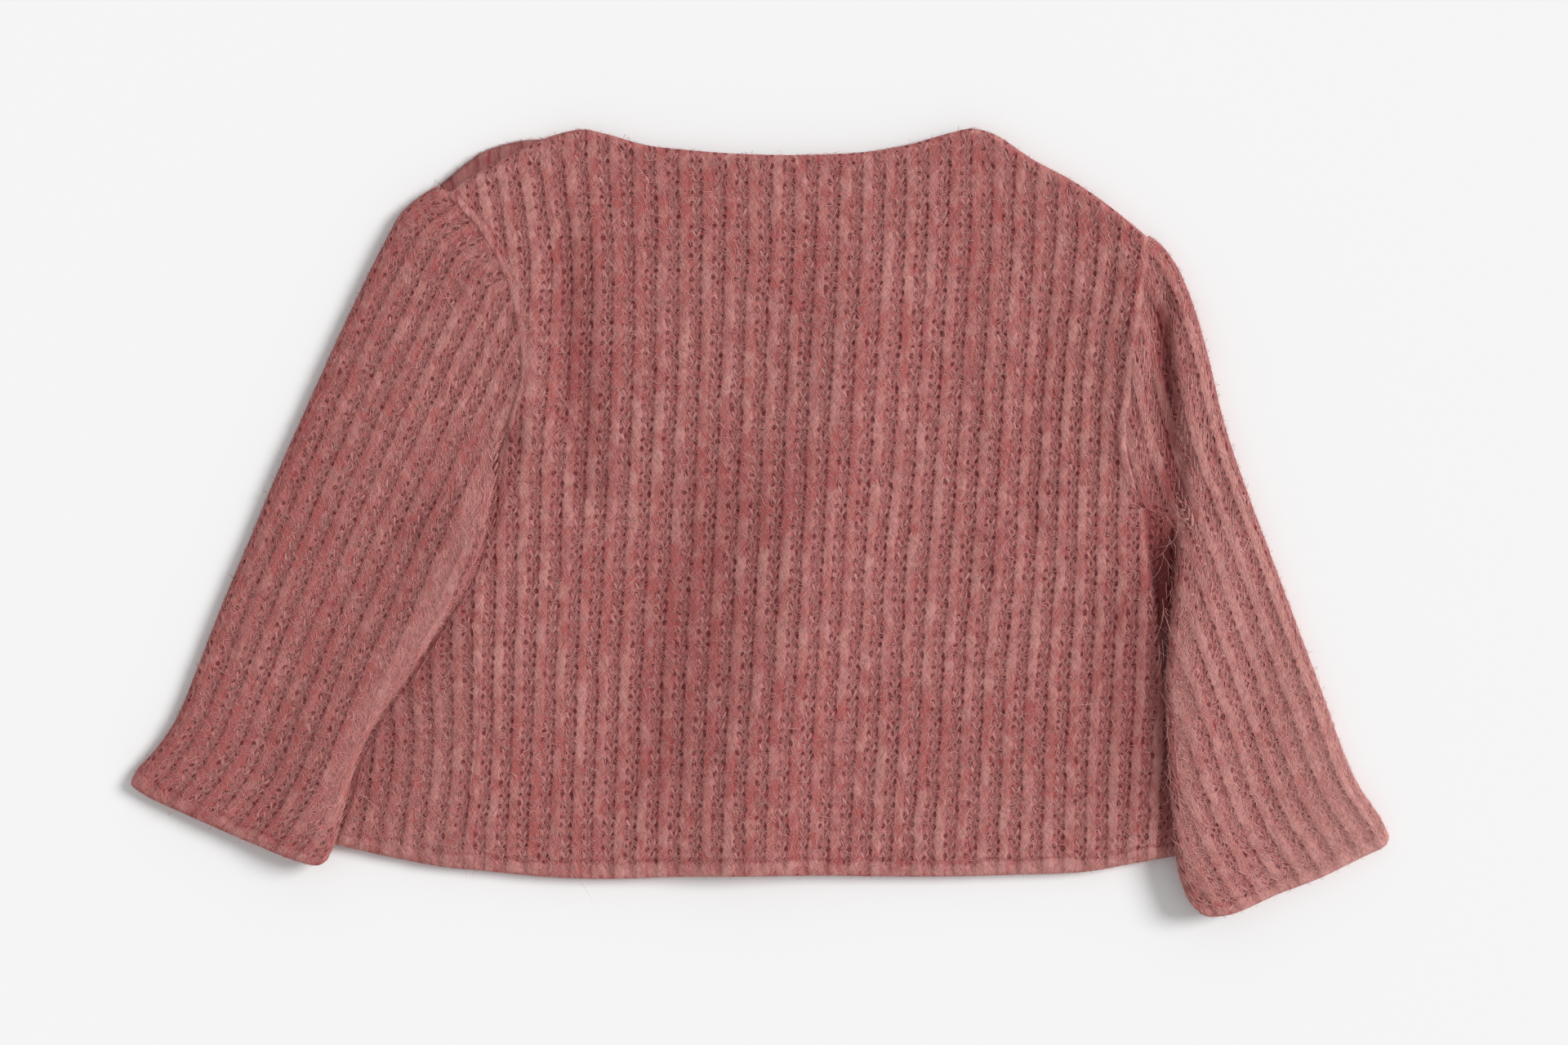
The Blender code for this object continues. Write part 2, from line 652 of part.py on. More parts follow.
        outer.append(over + under)
        inner.append([(0.0, slot(from_out))] + over_in + [(0.5, slot(from_in))] + under_in)
    return make_wall(name, outer, inner, closed=True)


for old in list(bpy.data.objects):
    bpy.data.objects.remove(old, do_unlink=True)

make_back()
make_front_left()
make_front_right()
make_sleeve("sleeve_left", LEFT_SLEEVE)
make_sleeve("sleeve_right", RIGHT_SLEEVE)
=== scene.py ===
"""A baby's rib-knit cardigan of brushed pink yarn, laid flat with its back up.

Each cloth piece is a fine shell on the form of its solid, with its ribs, stitches and nap.
Lengths below are millimetres until a mesh is made: +X to the garment's side that lies right,
+Y to its neck, +Z up. The frame is in metres.
"""
import json
import math

import bmesh
import bpy
import numpy as np
from mathutils import Vector, noise
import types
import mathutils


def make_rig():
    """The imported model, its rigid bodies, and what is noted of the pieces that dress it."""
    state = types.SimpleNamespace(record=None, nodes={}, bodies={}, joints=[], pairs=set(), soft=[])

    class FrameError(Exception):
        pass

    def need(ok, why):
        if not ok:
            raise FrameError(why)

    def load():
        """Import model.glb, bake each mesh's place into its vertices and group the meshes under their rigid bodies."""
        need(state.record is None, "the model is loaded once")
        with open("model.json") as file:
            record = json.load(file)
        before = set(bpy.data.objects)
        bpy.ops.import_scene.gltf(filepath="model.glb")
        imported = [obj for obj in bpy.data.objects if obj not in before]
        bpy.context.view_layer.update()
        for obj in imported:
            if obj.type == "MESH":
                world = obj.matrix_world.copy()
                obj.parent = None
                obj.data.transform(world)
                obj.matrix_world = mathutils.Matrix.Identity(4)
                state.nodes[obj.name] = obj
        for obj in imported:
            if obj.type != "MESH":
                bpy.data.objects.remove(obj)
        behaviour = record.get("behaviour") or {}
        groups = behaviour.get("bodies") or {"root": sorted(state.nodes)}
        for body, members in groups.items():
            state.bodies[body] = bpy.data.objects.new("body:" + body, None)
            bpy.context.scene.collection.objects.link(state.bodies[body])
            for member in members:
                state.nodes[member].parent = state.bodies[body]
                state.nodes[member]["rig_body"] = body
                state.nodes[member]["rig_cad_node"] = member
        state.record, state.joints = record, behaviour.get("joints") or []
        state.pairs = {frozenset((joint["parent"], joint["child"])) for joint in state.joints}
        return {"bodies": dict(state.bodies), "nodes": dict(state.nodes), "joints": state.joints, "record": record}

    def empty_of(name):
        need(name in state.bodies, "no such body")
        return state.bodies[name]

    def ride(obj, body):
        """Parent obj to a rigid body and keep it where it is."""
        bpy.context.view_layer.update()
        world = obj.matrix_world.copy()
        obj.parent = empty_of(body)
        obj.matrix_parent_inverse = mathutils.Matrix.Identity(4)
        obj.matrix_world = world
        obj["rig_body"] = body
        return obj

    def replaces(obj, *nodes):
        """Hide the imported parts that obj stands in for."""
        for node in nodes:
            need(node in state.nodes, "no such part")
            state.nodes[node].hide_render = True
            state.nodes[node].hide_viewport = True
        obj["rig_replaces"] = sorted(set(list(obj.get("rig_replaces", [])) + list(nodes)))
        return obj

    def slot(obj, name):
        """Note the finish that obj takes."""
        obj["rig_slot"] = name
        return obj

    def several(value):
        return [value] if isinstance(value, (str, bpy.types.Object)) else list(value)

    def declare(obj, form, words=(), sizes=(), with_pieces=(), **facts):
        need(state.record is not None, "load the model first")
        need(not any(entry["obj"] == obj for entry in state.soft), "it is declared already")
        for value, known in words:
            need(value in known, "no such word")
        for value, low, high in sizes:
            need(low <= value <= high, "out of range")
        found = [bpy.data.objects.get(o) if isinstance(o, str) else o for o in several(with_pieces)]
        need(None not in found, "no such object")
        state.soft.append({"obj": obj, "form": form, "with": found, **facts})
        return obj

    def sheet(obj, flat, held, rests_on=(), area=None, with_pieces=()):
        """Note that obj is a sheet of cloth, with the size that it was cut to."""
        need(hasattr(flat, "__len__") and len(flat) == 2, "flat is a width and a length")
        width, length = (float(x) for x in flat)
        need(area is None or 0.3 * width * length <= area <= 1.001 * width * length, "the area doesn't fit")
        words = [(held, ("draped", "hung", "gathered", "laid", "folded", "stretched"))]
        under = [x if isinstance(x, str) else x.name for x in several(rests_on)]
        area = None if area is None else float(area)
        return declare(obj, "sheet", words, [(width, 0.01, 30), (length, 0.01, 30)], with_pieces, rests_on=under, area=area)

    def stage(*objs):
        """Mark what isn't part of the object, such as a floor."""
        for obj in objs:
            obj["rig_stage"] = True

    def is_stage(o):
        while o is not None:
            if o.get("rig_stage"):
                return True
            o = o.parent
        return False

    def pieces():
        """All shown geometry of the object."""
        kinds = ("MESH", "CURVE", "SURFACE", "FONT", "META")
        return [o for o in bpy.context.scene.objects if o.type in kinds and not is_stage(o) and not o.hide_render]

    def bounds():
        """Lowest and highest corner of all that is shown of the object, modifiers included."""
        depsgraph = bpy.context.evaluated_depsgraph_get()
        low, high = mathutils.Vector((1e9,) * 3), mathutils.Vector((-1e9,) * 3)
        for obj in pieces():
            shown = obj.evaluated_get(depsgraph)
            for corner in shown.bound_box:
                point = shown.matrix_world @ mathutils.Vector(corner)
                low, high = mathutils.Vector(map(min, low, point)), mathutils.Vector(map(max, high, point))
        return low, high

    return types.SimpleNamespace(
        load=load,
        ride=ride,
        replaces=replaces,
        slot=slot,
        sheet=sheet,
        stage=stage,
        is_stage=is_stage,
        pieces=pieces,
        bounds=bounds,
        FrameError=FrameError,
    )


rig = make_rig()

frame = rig.load()
cad_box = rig.bounds()
bpy.ops.object.select_all(action="DESELECT")

MM = 0.001

# Back
# One piece of rib knit between neck, shoulders, armholes, sides and hem. It is a closed
# wall: a fine outer face with the ribs raised in it, a rim that rounds over, and a plain
# inner face.
WALL = 2.2              # thickness of the knit between its ribs
GAP = 0.3               # clear space between two layers
FOLD = WALL + GAP / 2   # radius of a fold where the cloth lies doubled
RIB_PITCH = 6.9         # width of a rib and the column of stitches beside it
RIB_HEIGHT = 0.72       # how far a rib stands above that column
RIB_FADE = 2.0          # distance from an edge over which a rib rises to full height
COLUMN_HALF = 0.11      # half the width of the column's level floor, in rib repeats
RIB_SLOPE = 0.2         # width over which a rib rises from it, in rib repeats
LUMPS = 0.16            # how uneven the brushed surface is
LUMP_SIZE = 3.2         # size of its lumps
COURSE = 3.4            # height of one row of stitches
RIB_STEPS = 8           # columns of the mesh to a rib
ROW_STEP = 1.13         # rows of the mesh, three to a course
BODY_LENGTH = 220.0     # the body's length, of which its rows have their shares
EDGE_ROUND = 1.3        # radius of a turned edge
EDGE_PLACES = (0.0, 0.1, 0.35, 0.75, 1.3)   # rows of the mesh beside a turned end
RIM_PLACES = (0.0, 0.12, 0.4, 0.8)          # columns of the mesh beside a turned side
SEAM_LAP = 1.15         # how far pieces run into each other at a seam
SEAM_RIB = 4.2          # width of the raised rib along each armhole
SEAM_SLOPES = (1.5, 1.4)    # widths over which it rises from the seam and falls again
SEAM_HEIGHT = 1.1 * RIB_HEIGHT  # how far it stands up
SEAM_START = 0.05       # share of the length over which it begins
SEAM_SMOOTH = 1.4       # how much narrower than the hem its smooth strip is
FAR = 50.0              # more than the width of any turned edge
NARROW = 3.0            # width under which a layer's rims shrink with it

# columns: share of the length, left x, left y, seam x, right x, right y
BODY_ROWS = (
    (0.000, -138.1, -101.9, -95.9, 132.6, -106.1),
    (0.006, -137.6, -100.6, -95.7, 132.6, -104.8),
    (0.058, -133.6, -90.0, -94.1, 131.8, -91.3),
    (0.127, -129.7, -75.7, -91.3, 131.0, -75.7),
    (0.190, -123.2, -62.7, -89.7, 130.8, -60.1),
    (0.253, -114.1, -49.7, -89.4, 131.3, -45.8),
    (0.342, -102.4, -31.5, -92.4, 132.4, -31.5),
    (0.417, -93.1, -15.9, -88.5, 133.4, -17.2),
    (0.493, -88.3, -0.3, -83.7, 132.6, -5.0),
    (0.556, -85.3, 12.7, -80.7, 131.6, 2.6),
    (0.588, -84.5, 19.2, -79.9, 121.9, 4.0),
    (0.644, -79.6, 30.9, -79.6, 118.3, 12.7),
    (0.720, -75.7, 46.5, -75.7, 115.4, 25.7),
    (0.796, -77.0, 62.1, -77.0, 117.0, 41.3),
    (0.871, -80.9, 77.7, -80.9, 119.6, 59.5),
    (0.922, -86.1, 88.1, -86.1, 121.4, 69.9),
    (0.963, -92.6, 96.7, -92.6, 122.7, 80.3),
    (0.994, -98.5, 103.0, -98.5, 123.2, 88.9),
    (1.000, -99.8, 104.3, -99.8, 123.2, 90.5),
)
UNDERARM = 0.588        # share of the length at which the side seam meets the armhole

# Edges that run across the body: x, y
HEM = (
    (-138.1, -101.9), (-127.7, -104.3), (-114.7, -107.1), (-101.7, -109.5),
    (-88.7, -110.8), (-62.7, -113.1), (-49.7, -113.4), (-23.7, -112.6),
    (15.3, -112.3), (60.8, -112.6), (80.3, -112.1), (106.3, -110.8),
    (119.3, -108.4), (132.6, -106.1),
)
BACK_TOP = (
    (-99.8, 104.3), (-96.0, 107.2), (-92.1, 109.8), (-86.1, 113.2), (-79.0, 117.0),
    (-75.7, 118.6), (-69.2, 121.6), (-62.7, 123.8),
    (-55.9, 124.8), (-49.7, 123.5), (-36.7, 119.9), (-23.7, 118.3), (15.3, 116.7), (34.8, 117.8),
    (47.8, 120.1), (60.8, 123.8), (67.3, 125.1), (73.8, 123.5), (86.8, 115.2),
    (99.8, 108.2), (112.8, 99.1), (123.2, 90.5),
)

# Where the ribs run on the back: y, then x of the ribs numbered in RIB_NUMBERS
RIB_NUMBERS = (-15, -12, -8, 0, 5, 10, 15, 18)
RIB_LINES = (
    (-104.3, -95.9, -75.7, -48.4, 6.8, 39.8, 73.6, 108.4, 127.7),
    (-73.1, -93.1, -74.4, -47.3, 7.8, 41.9, 74.9, 108.9, 129.7),
    (-41.9, -93.1, -73.1, -46.5, 9.9, 43.2, 76.4, 110.5, 131.3),
    (-10.7, -92.6, -72.0, -44.7, 11.4, 44.7, 79.3, 111.5, 132.3),
    (20.5, -92.0, -71.0, -43.2, 12.7, 47.3, 80.9, 112.1, 132.3),
    (51.7, -90.0, -68.9, -42.1, 14.0, 49.1, 82.9, 113.6, 133.6),
    (82.9, -88.9, -67.9, -41.9, 15.6, 51.0, 84.8, 118.3, 138.3),
    (114.1, -92.8, -72.0, -42.6, 16.6, 51.7, 86.1, 120.9, 141.4),
)

LOFT_ROUND = 0.02       # how softly a fold ends where the layer lies flat
# Soft folds of the upper layer: x, y at both ends, half width, height
FOLDS = (
    (0.0, 80.0, 0.0, -95.0, 75.0, 1.5),
    (-168.0, -95.0, -100.0, 80.0, 22.0, 1.8),
    (166.0, -112.0, 136.0, 60.0, 22.0, 1.8),
    (34.0, 66.0, -7.0, -112.0, 17.0, 3.0),
    (-30.0, 5.0, -42.0, -65.0, 16.0, -1.0),
    (-62.0, 88.0, -55.0, 10.0, 7.0, -1.0),
    (-71.0, 82.0, -72.0, 28.0, 6.0, 1.0),
    (93.0, 67.0, 88.0, 0.0, 7.0, -1.1),
    (77.0, 70.0, 77.0, -20.0, 8.0, 0.8),
    (119.0, 82.0, 114.0, 24.0, 5.0, 1.5),
    (121.5, 62.0, 119.5, 16.0, 4.5, 1.0),
    (134.0, 60.0, 138.0, 12.0, 5.0, 1.6),
    (126.0, 70.0, 128.6, 18.0, 3.2, -5.0),
    (130.0, 18.0, 127.5, -4.0, 5.0, -4.5),
)

# The body's edge beside the cleft under the right sleeve: y, x
CLEFT = (
    (-75.0, 131.5), (-57.0, 128.2), (-38.0, 126.0), (-21.0, 123.4), (-4.0, 121.2), (10.0, 120.4),
)
CLEFT_SLOPE = 2.6       # width over which the side sinks into it
CLEFT_ENDS = (-62.0, 12.0)  # y of its ends
CLEFT_FADES = (14.0, 6.0)   # lengths over which it deepens from them
CLEFT_FLOORS = (3.0, 4.5)   # height of the cloth in its lower and in its upper part
CLEFT_STEP = (-12.0, -2.0)  # y between which that height changes
CLEFT_RIBS = 0.4        # share of the ribs' height that is left in it


def ease(t):
    """From 0 to 1, slow at both ends."""
    t = np.clip(t, 0.0, 1.0)
    return t * t * (3 - 2 * t)


def mix(a, b, t):
    return a + (b - a) * t


def read(table, key, column=1):
    """A column of a table at a key, on a smooth curve through its rows."""
    rows = np.array(sorted(table), float)
    keys, values = rows[:, 0], rows[:, column]
    slopes = np.gradient(values, keys)
    key = np.clip(key, keys[0], keys[-1])
    i = np.clip(np.searchsorted(keys, key, side="right") - 1, 0, len(keys) - 2)
    span = keys[i + 1] - keys[i]
    t = (key - keys[i]) / span
    return (mix(values[i], values[i + 1], t * t * (3 - 2 * t))
            + span * t * (1 - t) * ((1 - t) * slopes[i] - t * slopes[i + 1]))


def beside(x, y, x1, y1, x2, y2, width):
    """From 1 on a straight stretch to 0 far from it, as a soft hump of this half width."""
    run_x, run_y = x2 - x1, y2 - y1
    t = np.clip(((x - x1) * run_x + (y - y1) * run_y) / (run_x ** 2 + run_y ** 2), 0.0, 1.0)
    away = np.hypot(x - x1 - run_x * t, y - y1 - run_y * t)
    return np.exp(-((away / width) ** 2))


def loft(x, y):
    """Height of the soft folds of the upper layer, never below none."""
    height = np.zeros(np.shape(x))
    for *hump, rise in FOLDS:
        height += rise * beside(x, y, *hump)
    return (height + np.sqrt(height * height + LOFT_ROUND)) / 2


# Painted shade and painted pale zones. Painted shade darkens the colour down in the folds,
# the troughs and beside the sleeves' edges, where the nap is also thin. The pale zones are
# partly thick nap that hides the stitches and partly painted highlight on raised edges.
# Columns: the start of the name of the piece, x, y at both ends, half width, and strength
# of the painted shade, below none where the colour is painted pale
PAINTED_SHADING_ZONES = (
    ("", 127.6, 68.0, 130.4, 18.0, 2.8, 0.9),
    ("", 131.0, 18.0, 129.0, -4.0, 3.6, 0.8),
    ("", -60.0, 86.0, -54.0, 12.0, 7.0, 0.35),
    ("", -12.0, 5.0, -32.0, -78.0, 15.0, 0.25),
    ("", 93.0, 68.0, 88.0, -2.0, 5.0, 0.25),
    ("", -76.0, 30.0, -84.0, 0.0, 3.0, 0.4),
    ("sleeve_right", 129.0, 16.0, 126.0, 2.0, 5.0, 0.45),
    ("back", 128.5, -30.0, 129.0, -70.0, 4.5, 0.6),
    ("back", 129.0, -70.0, 131.5, -106.0, 4.0, 0.5),
    ("back", 118.0, -32.0, 120.0, -82.0, 14.0, 0.42),
    ("front_left_shoulder", -98.0, 107.0, -70.0, 120.0, 8.0, 0.75),
    ("front_left", -124.0, -84.0, -98.0, -32.0, 8.0, 0.3),
    ("sleeve_left", -136.5, -92.0, -125.0, -62.0, 5.5, -0.4),
    ("sleeve_left", -125.0, -62.0, -103.5, -28.0, 5.5, -0.45),
    ("sleeve_left", -103.5, -28.0, -89.0, 8.0, 5.0, -0.45),
    ("sleeve_left", -89.0, 8.0, -85.0, 28.0, 4.5, -0.35),
    ("sleeve_right", 134.0, -24.0, 133.5, -70.0, 3.5, -0.35),
    ("sleeve_right", 133.5, -70.0, 138.5, -112.0, 3.5, -0.35),
    ("back", -79.5, 80.0, -72.0, 42.0, 4.5, -0.38),
)


def painted_shading(x, y, name):
    """Painted shading on the piece of this name: painted shade from 0 to 1 in the folds, the cleft and beside the
    sleeves, below none where it is painted pale.
    """
    painted_shading_depth = 0.85 * pressed(x, y) * name.startswith("back")
    for start, *hump, most in PAINTED_SHADING_ZONES:
        shade = most * beside(x, y, *hump) * name.startswith(start)
        painted_shading_depth = np.where(np.abs(shade) > np.abs(painted_shading_depth), shade, painted_shading_depth)
    return painted_shading_depth


def pressed(x, y):
    """How far the body's side sinks into the cleft, from 0 to 1."""
    return (ease((x - read(CLEFT, y)) / CLEFT_SLOPE)
            * ease((y - CLEFT_ENDS[0]) / CLEFT_FADES[0])
            * ease((CLEFT_ENDS[1] - y) / CLEFT_FADES[1]))


def row_y(share, top, x):
    """Where a row of the body runs at x, bent towards the hem or the top edge."""
    left_x, left_y = read(BODY_ROWS, share), read(BODY_ROWS, share, 2)
    right_x, right_y = read(BODY_ROWS, share, 4), read(BODY_ROWS, share, 5)
    across = (x - left_x) / (right_x - left_x)
    hem_x = mix(BODY_ROWS[0][1], BODY_ROWS[0][4], across)
    top_x = mix(BODY_ROWS[-1][1], BODY_ROWS[-1][4], across)
    hem_bend = read(HEM, hem_x) - mix(BODY_ROWS[0][2], BODY_ROWS[0][5], across)
    top_bend = read(top, top_x) - mix(BODY_ROWS[-1][2], BODY_ROWS[-1][5], across)
    level = mix(left_y, right_y, across)
    return level + hem_bend * (1 - share) ** 3 + top_bend * share ** 3


def rib_x(rib, y):
    """Where a rib line runs at a height on the garment."""
    lines = [read(RIB_LINES, y, i + 1) for i in range(len(RIB_NUMBERS))]
    x = lines[0] + (rib - RIB_NUMBERS[0]) * (lines[1] - lines[0]) / 3
    for i in range(1, len(RIB_NUMBERS) - 1):
        step = (lines[i + 1] - lines[i]) / (RIB_NUMBERS[i + 1] - RIB_NUMBERS[i])
        x = np.where(rib > RIB_NUMBERS[i], lines[i] + (rib - RIB_NUMBERS[i]) * step, x)
    return x


def rib_height(rib):
    """A rib's height across one repeat: level at its top, with a column beside it."""
    off_column = np.abs((rib + 0.5) % 1.0 - 0.5)
    return RIB_HEIGHT * ease((off_column - COLUMN_HALF) / RIB_SLOPE)


def roll(away):
    """How far the cloth rounds down at a distance from its edge."""
    reach = np.clip(1 - away / EDGE_ROUND, 0.0, 1.0)
    return EDGE_ROUND * (1 - np.sqrt(1 - reach ** 2))


def uneven(x, y):
    """Height of the lumps of the brushed surface."""
    lumps = [noise.noise(Vector((a / LUMP_SIZE, b / LUMP_SIZE, 0.0)))
             for a, b in zip(np.ravel(x), np.ravel(y))]
    return LUMPS * np.reshape(lumps, np.shape(x))


def top_layer(shares, top, left, right, ribs):
    """The body's upper layer between two edges, as grids of points and rib numbers."""
    fits = np.minimum(1.0, (right - left) / NARROW)
    rim = np.array(RIM_PLACES) * fits[:, None]
    reach = EDGE_ROUND * fits
    first, last = left + reach, right - reach
    rib = np.broadcast_to(ribs, (len(shares), len(ribs)))
    share = shares[:, None]
    y = mix(-104.0, 104.0, share) + 0.0 * rib
    # A rib's x depends on y and a row's y on x, so a few rounds settle both
    for _ in range(4):
        x = rib_x(rib, y)
        y = row_y(share, top, x)
    x = np.clip(x, first[:, None], last[:, None])
    free = rib_x(rib, y)
    known = np.array([np.interp(a, b, c) for a, b, c in zip(x, free, rib)])
    x = np.hstack([left[:, None] + rim, x, right[:, None] - rim[:, ::-1]])
    known = np.hstack([known[:, [0]] - (reach[:, None] - rim) / RIB_PITCH, known,
                       known[:, [-1]] + (reach[:, None] - rim[:, ::-1]) / RIB_PITCH])
    y = row_y(share, top, x)
    away = np.minimum(x - left[:, None], right[:, None] - x)
    return x, y, known, away


def shell(name, outer, inner, uv, edge, closed=False):
    """A closed wall of cloth from a fine outer grid and every few points of an inner one.

    outer and inner are grids of points of the same size, in millimetres. The uv grid
    counts ribs across and courses along the cloth; edge is the distance to a turned edge.
    """
    step = 4
    rows, columns = outer.shape[:2]
    kept_rows = sorted({*range(0, rows, step), rows - 1})
    kept_columns = sorted({*range(0, columns, step), columns - 1})
    mesh = bmesh.new()
    layer = mesh.loops.layers.uv.new("knit")
    turned = mesh.verts.layers.float.new("edge")
    # Painted shading kept on each point: painted shade in the folds, and below none the painted pale zones
    shaded = mesh.verts.layers.float.new("painted_shading")
    painted_shading_depth = painted_shading(outer[:, :, 0], outer[:, :, 1], name)
    top = [[mesh.verts.new(point) for point in row] for row in outer * MM]
    under = {(j, i): mesh.verts.new(inner[j, i] * MM)
             for j in kept_rows for i in kept_columns}
    where = {}
    for j in range(rows):
        for i in range(columns):
            where[top[j][i]] = uv[j, i]
            top[j][i][turned] = edge[j, i]
            top[j][i][shaded] = painted_shading_depth[j, i]
    for (j, i), vertex in under.items():
        where[vertex] = uv[j, i]
        vertex[turned] = edge[j, i]

    def face(corners):
        made = mesh.faces.new(corners)
        for loop in made.loops:
            loop[layer].uv = where[loop.vert]
        made.smooth = True

    for j in range(rows - 1):
        for i in range(columns - 1):
            face((top[j][i], top[j][i + 1], top[j + 1][i + 1], top[j + 1][i]))
    for low, high in zip(kept_rows, kept_rows[1:]):
        for one, two in zip(kept_columns, kept_columns[1:]):
            face((under[low, one], under[high, one], under[high, two], under[low, two]))
    for one, two in zip(kept_columns, kept_columns[1:]):
        face([*(top[0][i] for i in range(two, one - 1, -1)), under[0, one], under[0, two]])
        face([*(top[-1][i] for i in range(one, two + 1)),
              under[rows - 1, two], under[rows - 1, one]])
    if not closed:
        for low, high in zip(kept_rows, kept_rows[1:]):
            face([*(top[j][0] for j in range(low, high + 1)), under[high, 0], under[low, 0]])
            end = columns - 1
            face([*(top[j][end] for j in range(high, low - 1, -1)),
                  under[low, end], under[high, end]])
    bmesh.ops.remove_doubles(mesh, verts=mesh.verts[:], dist=0.004 * MM)
    data = bpy.data.meshes.new(name)
    mesh.to_mesh(data)
    mesh.free()
    piece = bpy.data.objects.new(name, data)
    bpy.context.scene.collection.objects.link(piece)
    return piece


def spaced(length, first, step):
    """Places along a length: close at both rounded edges, and even between them."""
    count = max(1, round((length - 2 * first[-1]) / step))
    middle = np.linspace(first[-1], length - first[-1], count + 1)
    return np.concatenate([first[:-1], middle, length - np.array(first[-2::-1])])


def body_wall(name, shares, top, left, right, ribs):
    """The body's upper layer as a closed wall."""
    x, y, rib, away = top_layer(shares, top, left, right, ribs)
    to_end = np.minimum(shares, 1 - shares)[:, None] * BODY_LENGTH
    below_armhole = (1 - ease((shares - UNDERARM) / SEAM_START))[:, None]
    edge = np.minimum(shares[:, None] * BODY_LENGTH, away * SEAM_SMOOTH + FAR * below_armhole)
    away = np.minimum(away, to_end)
    base = WALL + GAP + loft(x, y)
    seam_rib = ((1 - below_armhole) * ease(away / SEAM_SLOPES[0])
                * ease((SEAM_RIB - away) / SEAM_SLOPES[1]))
    rise = np.maximum(rib_height(rib) * ease(away / RIB_FADE), SEAM_HEIGHT * seam_rib)
    rise = rise + uneven(x, y) * ease(away / RIB_FADE)
    sunk = pressed(x, y)
    upper = ease((y - CLEFT_STEP[0]) / (CLEFT_STEP[1] - CLEFT_STEP[0]))
    floor_of_cleft = mix(*CLEFT_FLOORS, upper) + CLEFT_RIBS * rise
    outer = np.dstack([x, y, mix(base + WALL + rise - roll(away), floor_of_cleft, sunk)])
    inner = np.dstack([x, y, mix(base, WALL + GAP, sunk)])
    return shell(name, outer, inner, np.dstack([rib, y / COURSE]), edge), outer, rib


shares = spaced(BODY_LENGTH, EDGE_PLACES, ROW_STEP) / BODY_LENGTH
in_armhole = ease((shares - UNDERARM) / 0.02)
seam_x = read(BODY_ROWS, shares, 3) - SEAM_LAP
right_x = read(BODY_ROWS, shares, 4) + SEAM_LAP * in_armhole
back, back_points, back_ribs = body_wall(
    "back_cloth", shares, BACK_TOP, seam_x, right_x,
    np.arange(-16 * RIB_STEPS, 19 * RIB_STEPS + 1) / RIB_STEPS)

# The cloth's finish
# Brushed wool-blend rib knit, piece-dyed dusty rose: matt, with a pale nap on the ribs and
# deeper colour between the stitches, painted shade in the folds and painted highlight on the right.


def colour(code):
    """An sRGB hex colour as linear values."""
    parts = [int(code[i:i + 2], 16) / 255 for i in (1, 3, 5)]
    return [p / 12.92 if p <= 0.04045 else ((p + 0.055) / 1.055) ** 2.4 for p in parts] + [1]


def add(tree, kind, *values, out="", **settings):
    """Adds a node, sets it, feeds it, and gives its result, or the one that out names.

    The values feed its inputs in order: numbers, hex colours or other nodes' results.
    """
    node = tree.nodes.new("ShaderNode" + kind)
    for key, value in settings.items():
        setattr(node, key, value)
    for socket, value in zip([socket for socket in node.inputs if socket.enabled], values):
        if isinstance(value, bpy.types.NodeSocket):
            tree.links.new(value, socket)
        else:
            socket.default_value = colour(value) if isinstance(value, str) else value
    return next(socket for socket in node.outputs if socket.enabled and out in ("", socket.name))


def calc(tree, operation, *values):
    """The result of a maths node."""
    return add(tree, "Math", *values, operation=operation)


def ramp(tree, value, low, high, start=0.0, end=1.0):
    """A result that eases from start to end as the value goes from low to high."""
    return add(tree, "MapRange", value, low, high, start, end, interpolation_type="SMOOTHSTEP")


def blend(tree, share, one, two):
    """A colour between two colours, given as codes or as other nodes' results."""
    return add(tree, "Mix", share, one, two, data_type="RGBA")


knit = bpy.data.materials.new("brushed_rib_knit")
knit.use_nodes = True
tree = knit.node_tree
cloth_shader = tree.nodes["Principled BSDF"]
place = add(tree, "TexCoord", out="Object")
uv = add(tree, "UVMap", uv_map="knit")

# Noise on the cloth: length of its features in millimetres, turn in degrees, and detail
grains = []
for size, turn, detail in (
        ((9.0, 6.0, 9.0), 0, 0),
        ((2.6, 2.6, 2.6), 0, 0),
        ((5.0, 8.0, 6.0), 0, 2),
        ((34.0, 50.0, 40.0), 20, 0),
        ((0.4, 4.0, 1.0), 24, 0),
        ((0.4, 4.0, 1.0), -38, 0)):
    scaled = add(tree, "Mapping", place, (0, 0, 0), (0, 0, math.radians(turn)),
                 [length * MM for length in size], vector_type="TEXTURE")
    grains.append(add(tree, "TexNoise", scaled, 1.0, detail))
wander, stitch, blotch, patches = grains[:4]
streaks = calc(tree, "ADD", *grains[4:])

across = add(tree, "SeparateXYZ", uv, out="X")
across = calc(tree, "ADD", across, ramp(tree, wander, 0.2, 0.8, -0.05, 0.05))
up = add(tree, "SeparateXYZ", uv, out="Y")
up = calc(tree, "ADD", up, ramp(tree, wander, 0.2, 0.8, 0.35, -0.35))
from_column = calc(tree, "FRACT", calc(tree, "ADD", across, 0.5))
from_column = calc(tree, "ABSOLUTE", calc(tree, "SUBTRACT", from_column, 0.5))
in_course = calc(tree, "SUBTRACT", calc(tree, "FRACT", up), 0.5)
in_half = calc(tree, "SUBTRACT", calc(tree, "FRACT", calc(tree, "ADD", up, 0.5)), 0.5)


def hole(off, along, width, height):
    """Dark gap between stitches, an oval of this width and height in millimetres."""
    wide = calc(tree, "POWER", calc(tree, "MULTIPLY", off, RIB_PITCH * 2 / width), 2.0)
    high = calc(tree, "POWER", calc(tree, "MULTIPLY", along, COURSE * 2 / height), 2.0)
    return ramp(tree, calc(tree, "ADD", wide, high), 0.15, 1.3, 1.0, 0.0)


TURNING = 4.7           # width of the turned hem and cuffs
SIDE_HOLES = 0.2        # place of the holes on each side of a column, in rib repeats
RIB_FLANK = 0.24        # place of the line of painted shade where a rib begins
